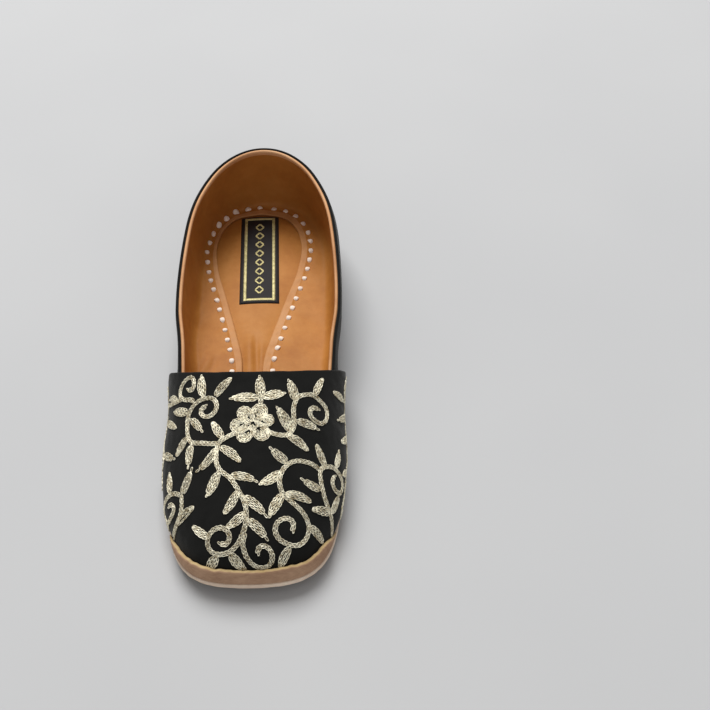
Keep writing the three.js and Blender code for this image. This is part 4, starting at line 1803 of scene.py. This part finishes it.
@dataclass
class Embroidery:
    """The vine in chain stitch of pale gold thread, every link a loop of thread on the velvet."""

    chart: VampChart
    finishes: FinishSet
    stem_row: float = 1.16
    leaf_row: float = 1.3
    link_pitch: float = 1.7
    link_overlap: float = 1.2
    link_half_width: float = 0.345
    thread_radius: float = 0.172
    lift_start: float = 0.1
    lift_end: float = 0.36
    link_steps: int = 12
    wander: float = 0.05

    def build(self) -> list[Piece]:
        """Stitches the stems, the leaves and the flower.

        Returns:
            The three pieces.
        """
        generator = np.random.default_rng(11)
        stems = [row for stem in STEMS for row in self.stem_rows(self.smooth(np.array(stem)))]
        leaves = [row for leaf in LEAVES for row in leaf.rows(self.leaf_row)]
        petals = [row for petal in PETALS for row in petal.rows(self.stem_row)]
        return [
            self.stitch("vine_stems", stems, self.stem_row, generator),
            self.stitch("vine_leaves", leaves, self.leaf_row, generator),
            self.stitch("vine_flower", petals, self.stem_row, generator),
        ]

    @staticmethod
    def smooth(points: Array, steps: int = 10) -> Array:
        """A smooth path through some points.

        Args:
            points: The points.
            steps: Steps between two of them.

        Returns:
            Points of the path.
        """
        ends = np.vstack([2 * points[0] - points[1], points, 2 * points[-1] - points[-2]])
        t = np.linspace(0, 1, steps, endpoint=False)[:, None]
        out = []
        for a, b, c, d in zip(ends, ends[1:], ends[2:], ends[3:]):
            bend = (2 * a - 5 * b + 4 * c - d) * t**2 + (3 * b - a - 3 * c + d) * t**3
            out.append(0.5 * (2 * b + (c - a) * t + bend))
        return np.vstack(out + [points[-1:]])

    def stem_rows(self, path: Array) -> list[Array]:
        """The two rows of a stem, side by side.

        Args:
            path: Points of the stem on the chart.

        Returns:
            The points of each row.
        """
        run = unit(np.gradient(path, axis=0))
        aside = np.stack([run[:, 1], -run[:, 0]], 1) * self.stem_row / 2
        return [path + aside, path - aside]

    def stitch(
        self, name: str, rows: list[Array], width: float, generator: np.random.Generator
    ) -> Piece:
        """Stitches rows of chain stitch.

        Args:
            name: Name of the piece.
            rows: Paths on the chart.
            width: Width of a row, which its links are sized to.
            generator: Gives the small unevenness of the links.

        Returns:
            The piece.
        """
        draft = MeshDraft(self.chart.vamp.last, name)
        for number, row in enumerate(rows):
            placed = self.chart.point(row)
            gone = way_gone(placed)
            count = max(1, round(gone[-1] / (self.link_pitch * width)))
            shift = 0.5 * (number % 2) if count > 2 else 0.0
            ends = np.clip((np.arange(count + 1) + shift) / count, 0, 1) * gone[-1]
            ends = ends[: count + 1 - (number % 2 if count > 2 else 0)]
            chart = read_off(ends, gone, row)
            chart = chart + generator.normal(0, self.wander, chart.shape)
            self.links(draft, chart, width, generator)
        return fit_piece(draft.build([self.finishes.zari], weld=0.0))

    def links(
        self, draft: MeshDraft, chart: Array, width: float, generator: np.random.Generator
    ) -> None:
        """Adds the links of one row.

        Args:
            draft: The mesh to add to.
            chart: Points where the links meet.
            width: Width of the row.
            generator: Gives the small unevenness of the links.
        """
        start, end = self.chart.point(chart[:-1]), self.chart.point(chart[1:])
        up = self.chart.normal((chart[:-1] + chart[1:]) / 2)
        run = (end - start) * self.link_overlap
        aside = unit(np.cross(unit(run), up))
        turn = np.linspace(0, 2 * math.pi, self.link_steps, endpoint=False)
        share = 0.5 - 0.5 * np.cos(turn)
        aside = aside * width * self.link_half_width * 1.18
        spread = np.sin(turn) * (0.55 + 0.45 * share)
        height = self.lift_start + (self.lift_end - self.lift_start) * share
        size = generator.uniform(0.9, 1.12, (len(start), 1, 1))
        centres = (
            start[:, None]
            + run[:, None] * share[:, None]
            + aside[:, None] * spread[:, None] * size
            + up[:, None] * height[:, None]
        )
        draft.loops(centres, up, self.thread_radius * width)


@dataclass
class Insole:
    """The padded sock, puffed up inside the lining's opening, with a pucker at its narrow end."""

    last: Last
    finishes: FinishSet
    opening: LiningOpening
    thickness: float = 4.2
    puff: float = 1.3
    inside_gap: float = 3.1
    columns: int = 220
    rows_across: int = 70
    creases: tuple[Crease, ...] = (
        Crease((-3.6, 148.0), (-1.2, 118.0), 1.9, -1.15),
        Crease((-6.8, 146.0), (-5.4, 116.0), 2.6, 0.8),
        Crease((-0.2, 140.0), (0.6, 118.0), 2.0, 0.7),
    )

    def top(self, plan: Array) -> Array:
        """Height of the pad's top above the floor at some plan points.

        Args:
            plan: Pairs of across and along.

        Returns:
            The heights.
        """
        base = self.last.feather_height(plan[..., 1]) + self.thickness
        half = np.maximum(self.opening.half_width(plan[..., 1]), 1e-3)
        across = np.clip(np.abs(plan[..., 0] - self.opening.offset) / half, 0, 1)
        crown = (1 - across**2.2) * smooth_step(half, 1.0, 12.0)
        puff = self.puff * crown * (self.opening.half_width(plan[..., 1]) > 0)
        puff += sum(crease.lift(plan) for crease in self.creases) * (across < 1) * (1 - across**4)
        return base + puff

    def build(self) -> Piece:
        """Builds the pad.

        Returns:
            The piece, in place of the insole's node.
        """
        last = self.last
        s = np.linspace(0, 1, self.columns + 1)
        inner = np.minimum(
            last.offset(s, last.share_at_rise(s, 0.01), -self.inside_gap),
            last.offset(s, last.share_at_rise(s, self.thickness + 1.4), -self.inside_gap),
        )
        inner[:, 1] = last.offset(s, np.zeros_like(s), -self.inside_gap)[:, 1]
        inner[(0, -1), 0] = 0.0
        share = np.linspace(-1, 1, self.rows_across + 1)
        across = inner[:, 0][:, None] * share
        plan = np.stack([across, np.broadcast_to(inner[:, 1][:, None], across.shape)], -1)
        top = np.concatenate([plan, self.top(plan)[..., None]], -1)
        under = top.copy()
        under[..., 2] = last.feather_height(plan[..., 1])
        draft = MeshDraft(last, "insole_pad")
        draft.grid(top)
        draft.grid(under, flip=True)
        for k, flip in ((0, True), (-1, False)):
            draft.grid(np.stack([under[:, k], top[:, k]], 1), flip=flip)
        piece = fit_piece(draft.build([self.finishes.lining]), ["insole"])
        return piece


@dataclass
class Label:
    """The woven patch on the insole: black, with a gold border and a plain row of lozenges."""

    last: Last
    finishes: FinishSet
    insole: Insole
    width: float = 22.0
    length: float = 70.0
    thickness: float = 0.6
    offset: float = -3.6
    back: float = 48.5
    turn: float = math.radians(1.7)
    border_inset: Pair = (3.0, 2.6)
    border_width: float = 1.85
    lozenges: int = 8
    lozenge_size: Pair = (4.6, 5.4)
    lozenge_line: float = 1.1

    def place(self, u: Array, w: Array, lift: float | Array) -> Array:
        """Points on the patch.

        Args:
            u: Distance across the patch from its middle.
            w: Distance along the patch from its middle, towards the heel.
            lift: Height above the insole.

        Returns:
            Points in millimetres.
        """
        cosine, sine = math.cos(self.turn), math.sin(self.turn)
        along = self.last.sole_length - self.back + u * sine + w * cosine
        plan = np.stack([self.offset + u * cosine - w * sine, along], -1)
        return np.concatenate([plan, (self.insole.top(plan) + lift)[..., None]], -1)

    def build(self) -> list[Piece]:
        """Builds the patch and its gold weaving.

        Returns:
            Both pieces.
        """
        return [self.patch(), self.gold()]

    def patch(self) -> Piece:
        """The black patch, its edges turned under.

        Returns:
            The piece.
        """
        u = np.linspace(-1, 1, 24) * self.width / 2
        w = np.linspace(-1, 1, 60) * self.length / 2
        across, along = np.meshgrid(u, w, indexing="ij")
        edge = np.minimum(self.width / 2 - np.abs(across), self.length / 2 - np.abs(along))
        swell = np.sqrt(smooth_step(edge, -0.01, 1.0))
        top = self.place(across, along, 0.12 + self.thickness * swell)
        under = self.place(across, along, 0.05)
        draft = MeshDraft(self.last, "label")
        draft.grid(top)
        draft.grid(under, flip=True)
        for k, flip in ((0, True), (-1, False)):
            draft.grid(np.stack([under[:, k], top[:, k]], 1), flip=flip)
            draft.grid(np.stack([under[k], top[k]], 1), flip=not flip)
        return fit_piece(draft.build([self.finishes.label]), ["label_patch"])

    def ribbon(self, draft: MeshDraft, path: Array, width: float) -> None:
        """A low raised ribbon along a path on the patch.

        Args:
            draft: The mesh to add to.
            path: Points as distances across and along the patch.
            width: The ribbon's width.
        """
        run = unit(np.gradient(path, axis=0))
        aside = np.stack([-run[:, 1], run[:, 0]], -1)
        profile = ((-0.5, 0.58), (-0.4, 0.84), (0.0, 0.9), (0.4, 0.84), (0.5, 0.58))
        rows = []
        for share, lift in profile:
            at = path + aside * width * share
            rows.append(self.place(at[:, 0], at[:, 1], lift))
        loop = np.stack(rows, 1)
        draft.grid(loop, closed=True)
        draft.cap(loop[0], flip=True)
        draft.cap(loop[-1])

    def gold(self) -> Piece:
        """The gold border and the plain row of lozenges inside it.

        Returns:
            The piece.
        """
        draft = MeshDraft(self.last, "label_weaving")
        half_u = self.width / 2 - self.border_inset[0]
        half_w = self.length / 2 - self.border_inset[1]
        reach = self.border_width / 2
        for sign in (-1.0, 1.0):
            w = np.linspace(-half_w - reach, half_w + reach, 60)
            self.ribbon(draft, np.stack([np.full_like(w, sign * half_u), w], 1), self.border_width)
            u = np.linspace(-half_u + reach, half_u - reach, 20)
            self.ribbon(draft, np.stack([u, np.full_like(u, sign * half_w)], 1), self.border_width)
        step = 2 * half_w / (self.lozenges + 1)
        across, tall = self.lozenge_size
        for k in range(self.lozenges):
            middle = -half_w + step * (k + 1)
            corners = np.array([(0, -tall), (across, 0), (0, tall), (-across, 0), (0, -tall)]) / 2
            for a, b in zip(corners[:-1], corners[1:]):
                t = np.linspace(0.04, 0.96, 6)[:, None]
                self.ribbon(draft, a + (b - a) * t + np.array([0, middle]), self.lozenge_line)
        return fit_piece(draft.build([self.finishes.label_gold], weld=0.0))


@dataclass
class LiningStitches:
    """White cotton stitches that hold the lining's margin down."""

    last: Last
    finishes: FinishSet
    upper: Upper
    pitch: float = 7.7
    length: float = 3.7
    thickness: float = 2.7
    flatness: float = 0.46
    rise: float = 0.5
    search: float = 6.0
    draw_in: float = 3.4
    most_rise: float = 0.6
    front: float = 96.0
    first_share: float = 0.4
    stray: float = 0.35
    lean: float = 0.16
    length_range: Pair = (0.85, 1.15)

    def build(self) -> Piece:
        """Builds the row of stitches.

        Returns:
            One piece with all of them.
        """
        opening = self.upper.opening
        ring = opening.loop(900)
        run = unit(np.roll(ring, -1, 0) - np.roll(ring, 1, 0))
        outward = np.stack([run[:, 1], -run[:, 0]], 1)
        line = ring + outward * opening.stitch_distance
        outward = outward[line[:, 1] > self.front]
        line = line[line[:, 1] > self.front]
        start = int(np.argmax(np.linalg.norm(np.diff(line, axis=0), axis=1) > 20)) + 1
        if start > 1:
            line, outward = np.roll(line, -start, 0), np.roll(outward, -start, 0)
        gone = way_gone(line)
        draft = MeshDraft(self.last, "lining_stitches")
        surface = self.surface()
        generator = np.random.default_rng(7)
        for at in np.arange(self.pitch * self.first_share, gone[-1], self.pitch):
            at = at + generator.normal(0, self.stray)
            middle = read_off(at, gone, line)
            inner = self.settle(surface, middle, read_off(at, gone, outward))
            way = unit(read_off(at + 1, gone, line) - middle)
            lean = generator.normal(0, self.lean)
            way = np.array([way[0] - lean * way[1], way[1] + lean * way[0]])
            length = self.length * generator.uniform(*self.length_range)
            self.stitch(draft, surface, inner, way, length)
        piece = draft.build([self.finishes.cotton], weld=0.0)
        return fit_piece(piece)

    def surface(self) -> BVHTree:
        """The lining, which the stitches are laid on.

        Returns:
            A tree of the lining's faces.
        """
        points: list[Array] = []
        faces: list[tuple[int, ...]] = []
        for side in (1.0, -1.0):
            loop = self.upper.side_of_lining(side)
            columns, rows = loop.shape[:2]
            index = np.arange(columns * rows).reshape(columns, rows) + len(points)
            corners = (index[:-1, :-1], index[1:, :-1], index[1:, 1:], index[:-1, 1:])
            faces += [tuple(map(int, face)) for face in np.stack(corners, -1).reshape(-1, 4)]
            points += list(loop.reshape(-1, 3))
        return BVHTree.FromPolygons([Vector(point) for point in points], faces)

    def height(self, surface: BVHTree, plan: Array) -> float:
        """Height of the lining at a plan place.

        Args:
            surface: The lining.
            plan: The place.

        Returns:
            The height in millimetres.
        """
        guess = float(self.upper.flange_height(plan))
        start = Vector((plan[0], plan[1], guess + self.search))
        hit = surface.ray_cast(start, Vector((0, 0, -1)), 2 * self.search)[0]
        return hit.z if hit else guess

    def settle(self, surface: BVHTree, middle: Array, outward: Array) -> Array:
        """Draws a stitch in towards the opening where the lining already rises to the wall.

        Args:
            surface: The lining.
            middle: Plan place of the stitch.
            outward: Plan direction away from the opening.

        Returns:
            Where the stitch lies.
        """
        kept = middle - outward * self.draw_in
        for share in np.linspace(1, 0, 13)[1:]:
            place = middle - outward * self.draw_in * share
            most = float(self.upper.flange_height(place)) + self.most_rise
            if self.height(surface, place) > most:
                break
            kept = place
        return kept

    def stitch(
        self, draft: MeshDraft, surface: BVHTree, middle: Array, way: Array, length: float
    ) -> None:
        """Adds one stitch: a plump thread that dives into the leather at both ends.

        Args:
            draft: The mesh to add to.
            surface: The lining.
            middle: Plan place of its middle.
            way: Plan direction that it runs in.
            length: Its length.
        """
        t = np.linspace(-1, 1, 11)
        plan = middle + way * (t * length / 2)[:, None]
        side = np.array([-way[1], way[0]])
        floor = np.array([self.height(surface, place) for place in plan])
        floor = np.polyval(np.polyfit(t, floor, 1), t)
        slope = (self.height(surface, middle + side) - self.height(surface, middle - side)) / 2
        height = floor + self.rise * (1 - t**2 - 0.8 * np.abs(t) ** 3)
        radius = self.thickness / 2 * np.sqrt(np.maximum(1 - np.abs(t) ** 2.6, 0.02))
        aside = unit(np.array([*side, slope]))
        up = np.array([-slope * side[0], -slope * side[1], 1.0]) * self.flatness
        turn = np.linspace(0, 2 * math.pi, 12, endpoint=False)
        centre = np.column_stack([plan, height])
        ring = centre[:, None, :] + radius[:, None, None] * (
            aside * np.cos(turn)[None, :, None] + up * np.sin(turn)[None, :, None]
        )
        draft.grid(ring, closed=True)
        draft.cap(ring[0], flip=True)
        draft.cap(ring[-1])


@dataclass
class Studio:
    """Floor, lights and camera."""

    last: Last
    floor_finish: FloorFinish = FloorFinish()
    camera_place: tuple[float, float, float] = (42.2, -223.4, 434.0)
    camera_heading: Pair = (0.0204, 0.9998)
    camera_pitch: float = math.radians(50)
    focal_pixels: float = 1049.0
    picture_pixels: float = 710.0
    sensor: float = 36.0
    floor_size: float = 4.0
    world_grey: float = 0.33

    def build(self) -> None:
        """Makes the studio."""
        self.floor()
        self.lights()
        self.camera()

    def floor(self) -> None:
        """A plain pale floor under the shoe."""
        half = self.floor_size / 2
        mesh = bpy.data.meshes.new("studio_floor")
        corners = [(-half, -half, 0), (half, -half, 0), (half, half, 0), (-half, half, 0)]
        mesh.from_pydata(corners, [], [(0, 1, 2, 3)])
        mesh.materials.append(self.floor_finish.material())
        piece = bpy.data.objects.new("studio_floor", mesh)
        bpy.context.scene.collection.objects.link(piece)

    def light(
        self,
        name: str,
        place: tuple[float, float, float],
        size: float,
        power: float,
        colour: Colour,
    ) -> None:
        """Adds a square soft light aimed at the shoe.

        Args:
            name: Name of the light.
            place: Its place in metres.
            size: Its width in metres.
            power: Its power in watts.
            colour: Its colour.
        """
        data = bpy.data.lights.new(name, "AREA")
        data.size, data.energy, data.color = size, power, colour
        lamp = bpy.data.objects.new(name, data)
        lamp.location = place
        lamp.rotation_mode = "QUATERNION"
        aim = Vector((0, 0, 0.02)) - Vector(place)
        lamp.rotation_quaternion = aim.to_track_quat("-Z", "Y")
        bpy.context.scene.collection.objects.link(lamp)

    def lights(self) -> None:
        """A large soft light from behind, a weak one from the front, and a pale surround."""
        self.light("key", (-0.32, 1.35, 2.3), 1.6, 86.0, (1.0, 0.99, 0.975))
        self.light("fill", (0.25, -1.7, 0.6), 1.0, 3.5, (1.0, 1.0, 1.0))
        world = bpy.data.worlds.new("studio")
        world.use_nodes = True
        backdrop = world.node_tree.nodes["Background"]
        backdrop.inputs["Color"].default_value = (1.0, 1.0, 1.0, 1.0)
        backdrop.inputs["Strength"].default_value = self.world_grey
        bpy.context.scene.world = world
        bpy.context.scene.view_settings.view_transform = "Standard"

    def camera(self) -> None:
        """The camera at the photograph's angle to the shoe."""
        data = bpy.data.cameras.new("camera")
        data.sensor_width = self.sensor
        data.lens = self.focal_pixels / self.picture_pixels * self.sensor
        data.clip_start = 0.01
        camera = bpy.data.objects.new("camera", data)
        x, along, z = self.camera_place
        camera.location = Vector((x, along + self.last.toe_y, z)) * MM
        heading = Vector((*self.camera_heading, 0)).normalized() * math.cos(self.camera_pitch)
        camera.rotation_mode = "QUATERNION"
        aim = heading - Vector((0, 0, math.sin(self.camera_pitch)))
        camera.rotation_quaternion = aim.to_track_quat("-Z", "Y")
        bpy.context.scene.collection.objects.link(camera)
        bpy.context.scene.camera = camera


def main() -> None:
    """Builds the shoe piece by piece, from the sole up."""
    logging.basicConfig(level=logging.INFO, format="%(name)s %(message)s")
    last = Last()
    finishes = FinishSet()
    Studio(last).build()
    opening = LiningOpening(last)
    Outsole(last, finishes).build()
    Rand(last, finishes).build()
    insole = Insole(last, finishes, opening)
    insole.build()
    upper = Upper(last, finishes, opening)
    upper.build()
    LiningStitches(last, finishes, upper).build()
    Label(last, finishes, insole).build()
    vamp = VampPiece(last, finishes)
    vamp.build()
    Embroidery(VampChart(vamp), finishes).build()


if __name__ == "__main__":
    main()
